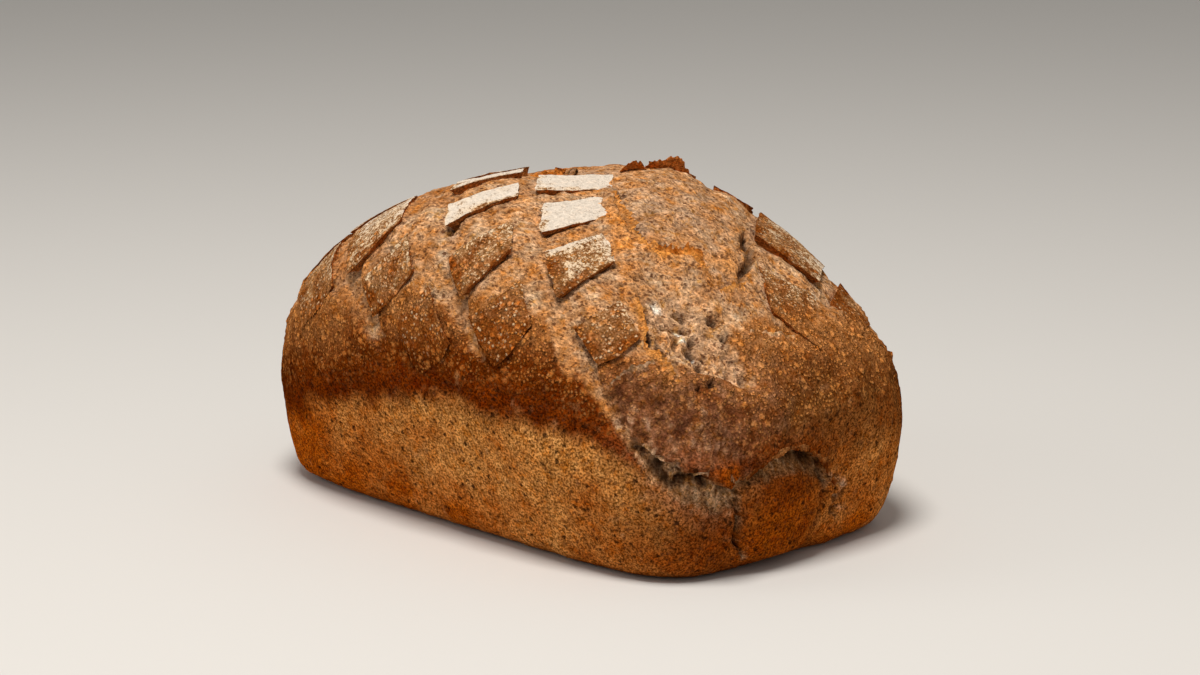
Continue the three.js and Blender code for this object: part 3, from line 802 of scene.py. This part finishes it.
def crust_tone(points):
    """Colour of unscored crust, and how far it is risen crust rather than tin-moulded."""
    x, y, z = points.T
    drop = np.where(x > BAND_HIGH_X, BAND_DROP_AT_BURST, BAND_DROP)
    band = BAND_HIGH - drop * (x - BAND_HIGH_X) ** 2
    band = band + (BAND_BACK - BAND_DROP * x**2 - band) * ease(y, *BACK_SPAN)
    on_end = ease(x, *END_SPAN_X) * ease(y, *END_SPAN_Y)
    band = band + (BAND_ON_END - band) * on_end
    band = band + 2.5 * noise(points, 30, 71) + 1.5 * noise(points, 7, 72)
    mottle = rough(points, 16, 3, 73)
    soft = 1 + 1.2 * on_end
    tan = TAN_SHARE + 0.4 * mottle + TAN_LOW * (TAN_MIDDLE_Z - z) - TAN_LEFT * np.minimum(x, TAN_MIDDLE_X)
    tan = tan + 0.3 * on_end - 0.45 * ease(-x, *FAR_END_SPAN)
    tone = paint(flat(TIN_PALE, len(points)), TIN_TAN, tan)
    tone = paint(tone, CRUST_DARK, (1 - 0.35 * on_end) * ease(z + 3 * mottle, band - 7 * soft, band + 2))
    tone = paint(tone, CRUST_BROWN, ease(z + 6 * mottle, band + 3, band + 17 * soft))
    tone = paint(tone, CRUST_DOME, ease(z + 8 * mottle, band + 12, band + 36))
    corner = hump(np.linalg.norm(points - NEAR_CORNER, axis=1), CORNER_REACH)
    tone = paint(tone, CORNER_BROWN, 0.85 * corner * ease(band - z, -4, 4))
    blush = hump(np.linalg.norm(points - BLUSH, axis=1), BLUSH_REACH)
    tone = paint(tone, TEAR_PALE, 0.34 * blush * (0.7 + rough(points, 5, 2, 74)))
    return tone, ease(z, band + 2, band + 16)


ridge_tone = crust_tone(roll(np.zeros(1), np.zeros(1)))[0][0]
print("crust on the ridge in linear light:", np.round(ridge_tone, 3))

# %% [markdown]
# The crumb is gold with paler fibres where it was pulled, brown towards the far end and orange on its torn
# lips; painted shade greys it where it lies deep, under the burst's lip and beside the plates. It is painted
# first, at every point of the body, and laid over the crust where the top opened. The tears, the cracks and
# the fold then get their own colours.

# %% Painting the crumb
# Painted shade: the crumb greys where it lies deep, under the burst's lip and in the gaps beside the plates;
# over the burst it also greys in patches.
sunk_shade = np.clip(-(mask.height + 2.2) / 3.0, 0, 1.2)
grey = sunk_shade * (1 - 0.5 * mask.pit) + 0.8 * mask.burst * (0.5 + 1.3 * noise(form, 9, 82))
grey = grey + 0.8 * mask.under_lip + 0.6 * mask.gap
orange = mask.lip + 0.4 * mask.rim + 0.9 * rough(form, 11, 2, 83) - 0.25
crumb = flat(CRUMB_GOLD, len(form))
crumb = paint(crumb, CRUMB_PALE, 0.35 + 0.6 * rough(form, 7, 3, 81) + 0.4 * mask.pulled)
crumb = paint(crumb, CRUMB_BROWN, 0.55 * ease(-mask.along, -15, 50) + 0.5 * rough(form, 14, 3, 87))
crumb = paint(crumb, CRUMB_GREY, grey)
crumb = paint(crumb, TORN_ORANGE, orange)
crumb = paint(crumb, STRAND_PALE, 0.6 * mask.pit * ease(mask.ridges, 0.5, 1.0))
# Painted shade in the pit's hollows between its ridges.
crumb = paint(crumb, HOLE_SHADE, 0.9 * mask.pit * ease(-mask.ridges, -0.35, 0.6))
print("mean crumb in linear light:", np.round(crumb.mean(axis=0), 3))

# %% Painting the body
# Painted highlights: pale spots on the pit's torn crumb where it would catch the light.
PAINTED_GLINTS = [(74, -55, 2.6), (86, -63, 2.0), (91, -72, 1.6), (84, -59, 1.2)]

tone, risen = crust_tone(form)
opened = ease(mask.zone + 0.4 * rough(form, 5, 3, 84), 0.2, 0.75)
tone = paint(tone, crumb, opened)
torn = np.maximum(0.85 * mask.tear * (1 - 0.5 * opened), 0.6 * mask.frayed)
tone = paint(tone, TEAR_MAUVE, torn)
tone = paint(tone, TEAR_PALE, torn * ease(mask.lumps, 0.25, 0.9))
tone = paint(tone, TEAR_MAROON, 0.8 * torn * ease(-mask.lumps, -0.12, 0.0))
tone = paint(tone, CORNER_BROWN, 0.7 * mask.shelf * ease(form[:, 0], 98, 106))
tone = paint(tone, FOLD_ORANGE, 0.85 * mask.fold)
# The crease is painted dark as painted shade; the fold is also darker towards its top.
tone = paint(tone, CRUST_DARK, np.maximum(0.85 * mask.fold * ease(form[:, 2], 20, 29), 0.8 * mask.crease))
tone = paint(tone, NUB_ORANGE, mask.nub)
tone = paint(tone, CRACK_CRUMB, 1.6 * mask.cracked)
tone = paint(tone, RING_BROWN, 1.4 * mask.ring)
pale = (0.3 - 0.5 * mask.ring + 2.2 * mask.strands) * mask.cracked * (1 - 0.6 * mask.ring)
tone = paint(tone, STRAND_PALE, pale + 0.8 * mask.crumb_lumps)
tone = paint(tone, TEAR_PALE, mask.bits * (0.6 + 1.2 * noise(form, 3, 88)))
# Painted shade: the cracks darken under their upper edge, round the fold and in their pockets, in rough
# patches.
shadow = mask.cracked * (0.9 * mask.crack_top + 0.4 * mask.ring + 1.8 * rough(form, 5, 2, 85) - 0.15)
tone = paint(tone, PAINTED_CRACK_SHADE, np.maximum(shadow, 1.2 * mask.pockets))
# Painted shade in the crumb's pores and holes and down the burst crack.
dark = np.maximum(0.6 * mask.pores * opened, np.maximum(0.8 * mask.holes, 0.85 * mask.burst_crack))
tone = paint(tone, HOLE_SHADE, dark)
# Painted shade down the narrow split.
tone = paint(tone, PAINTED_CRACK_SHADE, 1.2 * mask.split)
# Painted highlights: the glint spots are laid on in a pale colour.
tone = paint(tone, PAINTED_GLINT, spots(shake(form, 2.5, 1.6, 86), PAINTED_GLINTS))
bare = np.clip(np.maximum(np.maximum(opened, mask.cracked), 0.5 * mask.tear), 0, 1)
body_paint = dict(crumb=bare, risen=(1 - bare) * risen, flour=0 * bare, skin=0 * bare)
print("open crumb on", round(100 * float((bare > 0.5).mean())), "% of the body's points")

# %% [markdown]
# A mesh of this size is best handed to Blender as arrays in one go. Each point takes along its colour,
# `tone`, and four channels that tell the material what it lies on: `crumb`, `risen` crust, `flour` and
# the plates' `skin`.

# %% Building meshes
def build(name, points, faces, tone, channels, crease=None):
    """A smooth mesh in the frame, with its colours and channels."""
    mesh = bpy.data.meshes.new(name)
    mesh.from_pydata((points * MM).tolist(), [], faces)
    mesh.update()
    mesh.shade_smooth()
    if crease:
        mesh.set_sharp_from_angle(angle=math.radians(crease))
    shades = np.concatenate([tone, np.ones((len(points), 1))], 1).astype(np.float32)
    layer = mesh.attributes.new("tone", "FLOAT_COLOR", "POINT")
    layer.data.foreach_set("color", shades.ravel())
    for channel, values in channels.items():
        layer = mesh.attributes.new(channel, "FLOAT", "POINT")
        layer.data.foreach_set("value", np.clip(values, 0, 1).astype(np.float32))
    made = bpy.data.objects.new(name, mesh)
    bpy.context.scene.collection.objects.link(made)
    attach(made, "root")
    return made


body_faces = body_quads.tolist() + [rim[::-1].tolist()]
body = build("loaf_body", shaped, body_faces, tone, body_paint)
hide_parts("loaf")
print("body faces", len(body_faces))

# %% [markdown]
# Plates and torn edges are many small grids, and each kind is joined into one mesh. A pile gathers their
# arrays until it is built.

# %% Piles of small grids
PILED = ("points", "tone", "crumb", "risen", "flour", "skin")


def new_pile():
    """An empty pile."""
    return dict(faces=[], count=0, **{name: [] for name in PILED})


def gather(pile, quads, **arrays):
    """Put one grid's quads and arrays on a pile."""
    for name in PILED:
        pile[name].append(arrays[name])
    pile["faces"].append(quads + pile["count"])
    pile["count"] += len(arrays["points"])


def build_pile(name, pile, crease):
    """One mesh of all the grids on a pile."""
    joined = {part: np.concatenate(pile[part]) for part in PILED}
    faces = np.concatenate(pile["faces"]).tolist()
    made = build(name, joined.pop("points"), faces, joined.pop("tone"), joined, crease)
    print(name, "faces", len(faces))
    return made


print("a pile holds", ", ".join(PILED))

# %% [markdown]
# The plates
#
# The plates are the floured skin between the cuts. Relief on the body could raise them, but its grid
# would round their edges. So each plate is a small grid box of its own laid on the form: crisp edges, a
# skewed outline, corners moved a little by chance, and a lower left edge that curls up. Its sides lean in
# below, so it throws a thin shadow line on the crumb as the real skin does. Near the rim of the opened
# zone a plate sinks into the crust.

# %% The shape of a plate
PLATE_CELLS = (30, 24, 5)
SQUARE_CORNERS = [(-1, -1), (1, -1), (1, 1), (-1, 1)]
PLATE_ROOT, WALL_SWEEP = 6.0, 0.4
LIFT_BASE, LIFT_DOWN, LIFT_LEFT, LIFT_OUTSIDE = -0.45, 0.65, 0.35, 0.1
CORNER_MOVE, EDGE_WAVE, BOW, UNDERCUT = 0.9, 0.4, 1.8, 0.12
PLATE_SWELLS, PLATE_GRAIN, PLATES_APART = 0.3, 0.16, 37.0
plate_box, plate_quads = grid_box(*PLATE_CELLS)


def plate_outline(plate, u, v, level, local):
    """Unrolled place of a plate's grid points."""
    narrow = 1 - UNDERCUT * (1 - level)
    across = plate["across"] + u * narrow * plate["half"]
    down = plate["down"] + v * narrow * plate["deep"]
    for corner, (side_u, side_v) in enumerate(SQUARE_CORNERS):
        weight = (1 + side_u * u) * (1 + side_v * v) / 4
        across = across + CORNER_MOVE * weight * spread(plate["seed"], corner)
        down = down + CORNER_MOVE * weight * spread(plate["seed"], corner + len(SQUARE_CORNERS))
    across = across + EDGE_WAVE * rough(local, 4, 3, 101)
    down = down + EDGE_WAVE * rough(local, 4, 3, 105)
    down = down + plate["skew"] * (across - plate["across"]) + BOW * (0.5 - u * u)
    return lattice(across, down)


def plate_height(plate, u, v, level, local, inner):
    """Height of a plate's grid points above the form."""
    curl = LIFT_DOWN * (v + 1) / 2 + LIFT_LEFT * (1 - u) / 2
    lift = (LIFT_BASE + plate["lift"] * curl) * inner + LIFT_OUTSIDE * (1 - inner)
    lift = lift + PLATE_SWELLS * noise(local, 7, 102) + PLATE_GRAIN * rough(local, 2.0, 2, 103)
    return -PLATE_ROOT + (lift + PLATE_ROOT) * level**WALL_SWEEP


print(len(plate_box), "points in each plate")

# %% Laying the plates
PLATE_BROWN = colour(151, 80, 28)
PLATE_TAN = colour(208, 154, 102)
PLATE_WALL = colour(160, 92, 40)
PLATE_CREASE = 40
WALL_SPAN, UPPER_RIGHT_SPAN, WORN_SPAN = (0.02, 0.15), (0.55, 1.0), (0.5, 1.1)
FLOUR_AND_HIGHLIGHT_GAIN, FLOUR_WORN, FLOUR_PATCHES = 0.16, 0.36, 0.14

pile = new_pile()
for plate in plates:
    u, v, w = plate_box.T
    level = (w + 1) / 2
    local = np.stack([u * plate["half"], v * plate["deep"], 0 * u + plate["seed"] * PLATES_APART], 1)
    along, around = plate_outline(plate, u, v, level, local)
    point = roll(along, around)
    inner = scored(along, around, draw_back=0)
    high = plate_height(plate, u, v, level, local, inner)
    in_tear = tear_share(point)
    merged = np.maximum(1 - inner, in_tear)
    wall = ease(1 - level, *WALL_SPAN)
    # The upper and right edges get paler flour, partly a painted highlight on the rims that face the light.
    upper_right_flour_and_highlight = ease(np.maximum(u, -v), *UPPER_RIGHT_SPAN)
    worn = ease(np.maximum(-u, v) + 0.5 * noise(local, 4, 107), *WORN_SPAN)
    flour = (plate["flour"] + FLOUR_AND_HIGHLIGHT_GAIN * upper_right_flour_and_highlight - FLOUR_WORN * worn) * (1 - merged)
    flour = flour + FLOUR_PATCHES * noise(local, 7, 106)
    tan = 1.3 * flour - 0.15 + 0.4 * rough(local, 7, 2, 104)
    shade = paint(flat(PLATE_BROWN, len(u)), PLATE_TAN, tan)
    shade = paint(shade, crust_tone(point)[0], 1 - inner)
    shade = paint(shade, TEAR_MAUVE, in_tear)
    shade = paint(shade, PLATE_WALL, 0.9 * wall * inner)
    gather(pile, plate_quads, points=point + outward(point) * high[:, None], tone=shade, crumb=0.9 * wall,
           risen=(1 - wall) * merged, flour=(1 - wall) * flour, skin=(1 - wall) * (1 - merged))
scored_plates = build_pile("scored_plates", pile, PLATE_CREASE)

# %% [markdown]
# Torn edges
#
# Where the skin tore, its edge is a thin ragged flap that lifts off the crumb and bakes to orange. Such
# flaps could be sculpted one by one. A strip along a path is easier to move and to tune: it is rooted in
# the crust on one side, and free and frayed by noise on the other.

# %% A torn edge
SKIN_CELLS = (150, 6, 1)
SKIN_ROOT, SKIN_THICK, SKIN_EDGE, SKIN_SINK, SKIN_SWEEP = 2.5, 0.9, 0.25, 0.5, 1.6
SKIN_STEPS, SKIN_CREASE = 12, 60
FRAY_MIDDLE, FRAY_LEAST, FRAY_MOST = 0.75, 0.15, 1.5
SKIN_CRUMB, SKIN_RISEN = 0.5, 0.4
skin_box, skin_quads = grid_box(*SKIN_CELLS)


def along_path(path, values, share):
    """Values at shares of a path's length."""
    steps = np.linalg.norm(np.diff(path, axis=0), axis=1)
    length = np.concatenate([[0], np.cumsum(steps)])
    return np.stack([np.interp(share * length[-1], length, column) for column in values.T], 1)


def torn_edge(pile, route, reach, rise, toward, root, edge, seed, fray=0.5, ends=0.4):
    """A flap along a path: `toward` is 1 for its left side or -1, `root` and `edge` are colours."""
    path = on_form(route, SKIN_STEPS)
    way = np.gradient(path, axis=0)
    left = np.cross(outward(path), way / np.linalg.norm(way, axis=1, keepdims=True))
    held = survey(push_out(path - toward * SKIN_ROOT * left)).height
    u, v, w = (skin_box.T + 1) / 2
    spot = along_path(path, path, u)
    side = toward * along_path(path, left, u)
    held = along_path(path, held[:, None], u)[:, 0]
    ragged = noise(spot, 8, seed) + 0.5 * noise(spot, 3, seed + 3) + 0.6 * noise(spot, 1.2, seed + 7)
    frayed = taper(u, ends) * np.clip(FRAY_MIDDLE + fray * ragged, FRAY_LEAST, FRAY_MOST)
    shift = -SKIN_ROOT + (SKIN_ROOT + reach * frayed) * v
    point = push_out(spot + side * shift[:, None])
    top = held + rise * frayed * v**SKIN_SWEEP - SKIN_SINK * (1 - v) ** 2
    high = top - (1 - w) * (SKIN_EDGE + (SKIN_THICK - SKIN_EDGE) * (1 - v))
    share = ease(v + 0.5 * rough(spot, 6, 2, seed + 5), 0.3, 1.1)
    none = np.zeros(len(u))
    gather(pile, skin_quads, points=point + outward(point) * high[:, None],
           tone=paint(flat(root, len(u)), edge, share), crumb=none + SKIN_CRUMB, risen=none + SKIN_RISEN,
           flour=none, skin=none)


print(len(skin_box), "points in each torn edge")

# %% All the torn edges
TORN_DARK = colour(170, 92, 30)
FLAKE_ORANGE = colour(230, 150, 76)
FLAKE_BROWN = colour(204, 126, 62)
FLAKE_NEAR = [(-2, 21), (1, 24), (5, 27)]
FLAKE_FAR = [(-1, 32), (4, 37), (10, 44)]
RIDGE_FLAP = [(-17, -10), (-9, -8), (-1, -6)]
STEP = [(78, -97), (82, -91), (86, -82)]
NEXT_PLATE = [(93, -34), (96, -14), (97, 8)]
CORNER_TOP = [(91, -60, 47), (98, -54, 43), (105, -43, 38), (107, -34, 34)]
FOLD_TOP = [(108, -31, 34), (110, -22, 40), (110, -11, 42), (109, 3, 35), (107, 12, 24)]
TORN_EDGES = [
    dict(route=LIP, reach=3.0, rise=1.3, toward=1, root=CRUMB_GOLD, edge=TORN_ORANGE, seed=201,
         fray=0.9, ends=0.8),
    dict(route=LIP_FLAP, reach=3.4, rise=2.6, toward=1, root=TORN_ORANGE, edge=TORN_DARK, seed=205,
         fray=1.0, ends=1.0),
    dict(route=RIGHT_LIP, reach=2.6, rise=1.2, toward=1, root=CRUMB_GOLD, edge=TORN_ORANGE, seed=211),
    dict(route=PIT_RIM, reach=2.0, rise=0.4, toward=1, root=CRUMB_GOLD, edge=TORN_ORANGE, seed=221,
         fray=0.8),
    dict(route=FLAKE_NEAR, reach=2.0, rise=4.0, toward=-1, root=FLAKE_ORANGE, edge=FLAKE_BROWN, seed=231,
         fray=0.6, ends=0.6),
    dict(route=FLAKE_FAR, reach=2.6, rise=6.6, toward=-1, root=FLAKE_ORANGE, edge=FLAKE_BROWN, seed=233,
         fray=0.4, ends=0.6),
    dict(route=RIDGE_FLAP, reach=2.5, rise=2.2, toward=1, root=TORN_ORANGE, edge=TORN_DARK, seed=235,
         ends=0.3),
    dict(route=STEP, reach=2.0, rise=1.4, toward=1, root=TEAR_MAUVE, edge=CRUMB_GREY, seed=237, fray=0.6),
    dict(route=NEXT_PLATE, reach=1.6, rise=0.5, toward=1, root=CRUST_DOME, edge=CRUMB_PALE, seed=241,
         fray=0.8),
    dict(route=CORNER_TOP, reach=2.4, rise=0.6, toward=-1, root=TEAR_MAUVE, edge=CRUMB_GREY, seed=251),
    dict(route=FOLD_TOP, reach=2.0, rise=0.5, toward=-1, root=CRUST_DOME, edge=CORNER_BROWN, seed=261),
]

pile = new_pile()
for flap in TORN_EDGES:
    torn_edge(pile, **flap)
torn_edges = build_pile("torn_edges", pile, SKIN_CREASE)

# %% [markdown]
# The crust material
#
# One node material serves the whole loaf, because crust, crumb and floured skin run into each other. The
# mesh carries the colour and the four channels that say what kind of surface it is. The nodes add what is
# finer than the mesh: grain, pale blisters with painted glints, bran flecks, pores with painted shade and
# dusting, and the same patterns dent the surface with a bump. Short helpers keep the node tree readable:
# most add one node and hand back its output.

# %% Node helpers
def add_node(tree, kind, inputs=None, **settings):
    """A new node with its settings made and its inputs set or linked."""
    made = tree.nodes.new(kind)
    for name, value in settings.items():
        setattr(made, name, value)
    for key, value in (inputs or {}).items():
        socket = made.inputs[key]
        if isinstance(value, bpy.types.NodeSocket):
            tree.links.new(value, socket)
        else:
            socket.default_value = value
    return made


def solid(rgb):
    """A colour with full cover, as sockets take it."""
    return (rgb[0], rgb[1], rgb[2], 1.0)


material = bpy.data.materials.new("bread_crust")
material.use_nodes = True
tree = material.node_tree
tree.nodes.clear()
place = add_node(tree, "ShaderNodeTexCoord").outputs["Object"]


def channel(name, output="Fac"):
    """One of the values that the mesh's points carry."""
    return add_node(tree, "ShaderNodeAttribute", attribute_name=name).outputs[output]


def sum_of(a, b, operation="ADD"):
    """Two values added, or joined by another operation."""
    return add_node(tree, "ShaderNodeMath", {0: a, 1: b}, operation=operation).outputs[0]


def times(a, b):
    """Two values multiplied."""
    return sum_of(a, b, "MULTIPLY")


def steps(value, low, high, to_low=0.0, to_high=1.0):
    """A smooth step of a value from `low` to `high`, which may also run downwards."""
    inputs = {"Value": value, "From Min": low, "From Max": high, "To Min": to_low, "To Max": to_high}
    return add_node(tree, "ShaderNodeMapRange", inputs, interpolation_type="SMOOTHSTEP").outputs["Result"]


def tint(share, below, above):
    """A colour mixed into another by a share."""
    node = add_node(tree, "ShaderNodeMix", {0: share, 6: below, 7: above}, data_type="RGBA")
    return node.outputs[2]


def brighten(shade, amount):
    """A colour or a direction scaled."""
    node = add_node(tree, "ShaderNodeVectorMath", {0: shade, "Scale": amount}, operation="SCALE")
    return node.outputs[0]


def filtered(shade, red, green, blue):
    """A colour with its red, green and blue scaled apart."""
    factors = (red, green, blue)
    return add_node(tree, "ShaderNodeVectorMath", {0: shade, 1: factors}, operation="MULTIPLY").outputs[0]


print("material", material.name)

# %% Pattern helpers
PER_MM = 1 / MM
GRAIN_ROUGHNESS = 0.65
SCORE_ANGLE = math.radians(-45)


def grain(size_mm, where=place, detail=3.0):
    """A noise texture with blobs of this size."""
    inputs = {"Vector": where, "Scale": PER_MM / size_mm, "Detail": detail, "Roughness": GRAIN_ROUGHNESS}
    return add_node(tree, "ShaderNodeTexNoise", inputs)


def shaken(size_mm, reach_mm):
    """Coordinates shaken by noise, so that round flecks come out ragged."""
    away = add_node(tree, "ShaderNodeVectorMath", {0: grain(size_mm).outputs["Color"], 1: (0.5, 0.5, 0.5)},
                    operation="SUBTRACT").outputs[0]
    away = brighten(away, reach_mm * MM)
    return add_node(tree, "ShaderNodeVectorMath", {0: place, 1: away}).outputs[0]


def drawn_out(where, squeeze):
    """Coordinates that draw a pattern out along the rows of plates."""
    inputs = {"Vector": where, "Rotation": (0, 0, SCORE_ANGLE), "Scale": (squeeze, 1.0, 1.0)}
    return add_node(tree, "ShaderNodeMapping", inputs).outputs[0]


def flecks(size_mm, where):
    """Scattered points, one to a cell of this size."""
    return add_node(tree, "ShaderNodeTexVoronoi", {"Vector": where, "Scale": PER_MM / size_mm})


def chance(node, low, high, part=0):
    """Share of the flecks kept, by the colour that each has by chance."""
    parts = add_node(tree, "ShaderNodeSeparateColor", {0: node.outputs["Color"]})
    return steps(parts.outputs[part], low, high)


print("patterns drawn out at", round(math.degrees(SCORE_ANGLE)), "degrees")

# %% Crust material: ground, fibres and blisters
GOLD = colour(212, 147, 76)
# The cream colour serves both thin flour and the painted glints.
CREAM_FLOUR_AND_GLINT = colour(228, 198, 158)

crumb, risen, flour, skin = channel("crumb"), channel("risen"), channel("flour"), channel("skin")
moulded = sum_of(1.0, sum_of(sum_of(crumb, risen), skin), "SUBTRACT")
baked = sum_of(risen, skin)
fine = grain(0.75).outputs["Fac"]
middling = grain(1.8, detail=4.0).outputs["Fac"]
clouds = grain(3.4, detail=5.0).outputs["Fac"]
patches = grain(7.0).outputs["Fac"]
ragged_place = shaken(1.3, 2.2)

shade = channel("tone", "Color")
calm = sum_of(1.0, times(crumb, -0.4))
shade = tint(times(steps(clouds, 0.5, 0.66), calm), shade, filtered(shade, 1.15, 1.28, 1.5))
shade = tint(steps(clouds, 0.5, 0.34), shade, filtered(shade, 0.87, 0.69, 0.38))
rugged = sum_of(sum_of(1.0, times(crumb, -0.5)), times(moulded, 0.6))
shade = brighten(shade, sum_of(1.0, times(rugged, steps(fine, 0.35, 0.65, -0.42, 0.44))))
reddened = times(steps(fine, 0.52, 0.38), sum_of(1.0, crumb, "SUBTRACT"))
shade = tint(reddened, shade, filtered(shade, 1.0, 0.9, 0.6))
shade = brighten(shade, steps(middling, 0.34, 0.66, 0.8, 1.16))
shade = brighten(shade, steps(patches, 0.3, 0.7, 0.86, 1.14))

fibre = grain(0.8, drawn_out(shaken(2.8, 2.4), 0.2), 2.0).outputs["Fac"]
shade = brighten(shade, sum_of(1.0, times(crumb, steps(fibre, 0.34, 0.66, -0.4, 0.34))))

large = flecks(2.9, shaken(1.7, 2.2))
small = flecks(1.2, shaken(0.8, 1.0))
large_blister = times(steps(large.outputs["Distance"], 0.52, 0.2), chance(large, 0.4, 0.6))
small_blister = times(steps(small.outputs["Distance"], 0.6, 0.22), chance(small, 0.1, 0.6))
blister = sum_of(times(large_blister, 0.85), small_blister, "MAXIMUM")
clusters = steps(patches, 0.34, 0.62, 0.2, 1.0)
shade = brighten(shade, sum_of(1.0, times(baked, steps(blister, 0.0, 1.0, -0.42, 0.36))))
shade = tint(times(times(small_blister, clusters), times(baked, 0.45)), shade, solid(GOLD))
shade = tint(times(large_blister, times(risen, 0.25)), shade, solid(GOLD))
# Painted highlights: cream glints on some small blisters, strong on the plates and faint on the risen crust.
creamy_glints = times(small_blister, chance(small, 0.66, 0.84, 1))
shade = tint(times(creamy_glints, sum_of(times(skin, 0.7), times(risen, 0.07))), shade, solid(CREAM_FLOUR_AND_GLINT))
print("nodes for ground, fibres and blisters", len(tree.nodes))

# %% [markdown]
# On this ground lie the small things: pores in the crust with painted shade, flour that catches on the grain
# of the plates, and bran everywhere, most of all in the crumb. Loose flour is too fine for mesh, so it is a
# pale colour that comes in where the flour channel and the grain together are high.

# %% Crust material: pores, flour, bran and relief
BRAN = colour(90, 50, 30)
FLOUR = colour(226, 214, 198)
PORE_SHADE = colour(46, 22, 8)
BUMP_DEPTH = 1.1

# Pores are dented by the bump and painted dark as painted shade.
pore_node = flecks(3.2, ragged_place)
pore = times(steps(pore_node.outputs["Distance"], 0.28, 0.12), chance(pore_node, 0.45, 0.51))
pore = times(pore, sum_of(moulded, times(risen, 0.7)))
shade = tint(times(pore, 0.85), shade, solid(PORE_SHADE))

dusting = sum_of(sum_of(times(fine, 1.1), times(middling, 1.1)), flour)
dusting = times(steps(dusting, 1.6, 1.84), steps(flour, 0.02, 0.12))
powder = tint(steps(flour, 0.45, 0.95), solid(CREAM_FLOUR_AND_GLINT), solid(FLOUR))
powder = brighten(powder, steps(sum_of(fine, middling), 0.7, 1.3, 0.78, 1.06))
shade = tint(times(dusting, 0.9), shade, powder)

bran_node = flecks(1.9, ragged_place)
bran = times(steps(bran_node.outputs["Distance"], 0.38, 0.22), chance(bran_node, 0.45, 0.51))
mote_node = flecks(0.95, drawn_out(ragged_place, 0.45))
mote = times(steps(mote_node.outputs["Distance"], 0.4, 0.22), chance(mote_node, 0.55, 0.61))
bran = sum_of(bran, times(mote, 0.85), "MAXIMUM")
bran = times(bran, sum_of(sum_of(0.25, times(crumb, 0.68)), times(moulded, 0.35)))
shade = tint(times(bran, steps(dusting, 0.0, 1.0, 0.85, 0.25)), shade, solid(BRAN))

relief = sum_of(times(fine, 0.5), times(middling, 0.4))
relief = sum_of(relief, times(times(fibre, crumb), 0.5))
relief = sum_of(relief, times(times(blister, baked), steps(dusting, 0.0, 1.0, 0.8, 0.2)))
relief = sum_of(relief, times(pore, -0.7))
relief = sum_of(relief, times(bran, -0.15))
dents = add_node(tree, "ShaderNodeBump", {"Strength": 1.0, "Distance": BUMP_DEPTH * MM, "Height": relief})
gloss = steps(sum_of(crumb, dusting), 0.0, 1.0, 0.6, 0.95)
finish = {"Base Color": shade, "Roughness": gloss, "Normal": dents.outputs[0], "Specular IOR Level": 0.0}
surface = add_node(tree, "ShaderNodeBsdfPrincipled", finish)
add_node(tree, "ShaderNodeOutputMaterial", {"Surface": surface.outputs[0]})
for piece in (body, scored_plates, torn_edges):
    piece.data.materials.append(material)
print("crust material nodes", len(tree.nodes))

# %% [markdown]
# Floor, light and camera
#
# The loaf stands on a plain pale floor. One soft lamp high above the near corner models it as daylight
# through a high window would, and a weak one, lower and to the left, fills the long side. Lengths are in
# metres from here on.

# %% Floor and light
FLOOR_REACH, FLOOR_COLOUR, FLOOR_ROUGHNESS = 3.0, (0.62, 0.6, 0.57, 1), 0.9
SKY_COLOUR, SKY_STRENGTH = (1.0, 0.97, 0.93, 1), 0.34
LIT_SPOT = (0, 0, 0.05)

corners = [(side_x * FLOOR_REACH, side_y * FLOOR_REACH, 0) for side_x, side_y in SQUARE_CORNERS]
floor_mesh = bpy.data.meshes.new("floor")
floor_mesh.from_pydata(corners, [], [(0, 1, 2, 3)])
floor = bpy.data.objects.new("floor", floor_mesh)
bpy.context.scene.collection.objects.link(floor)
floor_finish = bpy.data.materials.new("pale_floor")
floor_finish.use_nodes = True
floor_shader = floor_finish.node_tree.nodes["Principled BSDF"]
floor_shader.inputs["Base Color"].default_value = FLOOR_COLOUR
floor_shader.inputs["Roughness"].default_value = FLOOR_ROUGHNESS
floor_mesh.materials.append(floor_finish)

scene = bpy.context.scene
scene.view_settings.view_transform = "Standard"
world = bpy.data.worlds.new("studio")
world.use_nodes = True
sky = world.node_tree.nodes["Background"]
sky.inputs["Color"].default_value = SKY_COLOUR
sky.inputs["Strength"].default_value = SKY_STRENGTH
scene.world = world


def lamp(name, place, size, watts, tint_rgb):
    """A round soft lamp that is aimed at the loaf."""
    data = bpy.data.lights.new(name, "AREA")
    data.shape = "DISK"
    data.size = size
    data.energy = watts
    data.color = tint_rgb
    made = bpy.data.objects.new(name, data)
    scene.collection.objects.link(made)
    made.location = place
    made.rotation_euler = (Vector(LIT_SPOT) - Vector(place)).to_track_quat("-Z", "Y").to_euler()
    print(name, "lamp,", watts, "W")


lamp("key", place=(0.25, -0.4, 1.35), size=0.5, watts=20, tint_rgb=(1.0, 0.97, 0.93))
lamp("fill", place=(-0.9, -1.1, 0.7), size=0.9, watts=3.0, tint_rgb=(1.0, 0.98, 0.95))

# %% [markdown]
# The camera stands low at the near corner with a long lens, so the loaf's lines hardly draw together. Its
# place is given by two angles and a distance from a point inside the loaf.

# %% Camera
AZIMUTH, ELEVATION, DISTANCE = math.radians(46.45), math.radians(12.7), 1.033
AIM = Vector((0.0040, 0.0048, 0.0568))
LENS, SENSOR = 90, 36

level = math.cos(ELEVATION)
back = Vector((math.sin(AZIMUTH) * level, -math.cos(AZIMUTH) * level, math.sin(ELEVATION)))
camera_data = bpy.data.cameras.new("camera")
camera_data.lens = LENS
camera_data.sensor_width = SENSOR
camera = bpy.data.objects.new("camera", camera_data)
scene.collection.objects.link(camera)
camera.location = AIM + back * DISTANCE
camera.rotation_euler = (-back).to_track_quat("-Z", "Y").to_euler()
scene.camera = camera
print("camera at, m:", [round(v, 3) for v in camera.location])
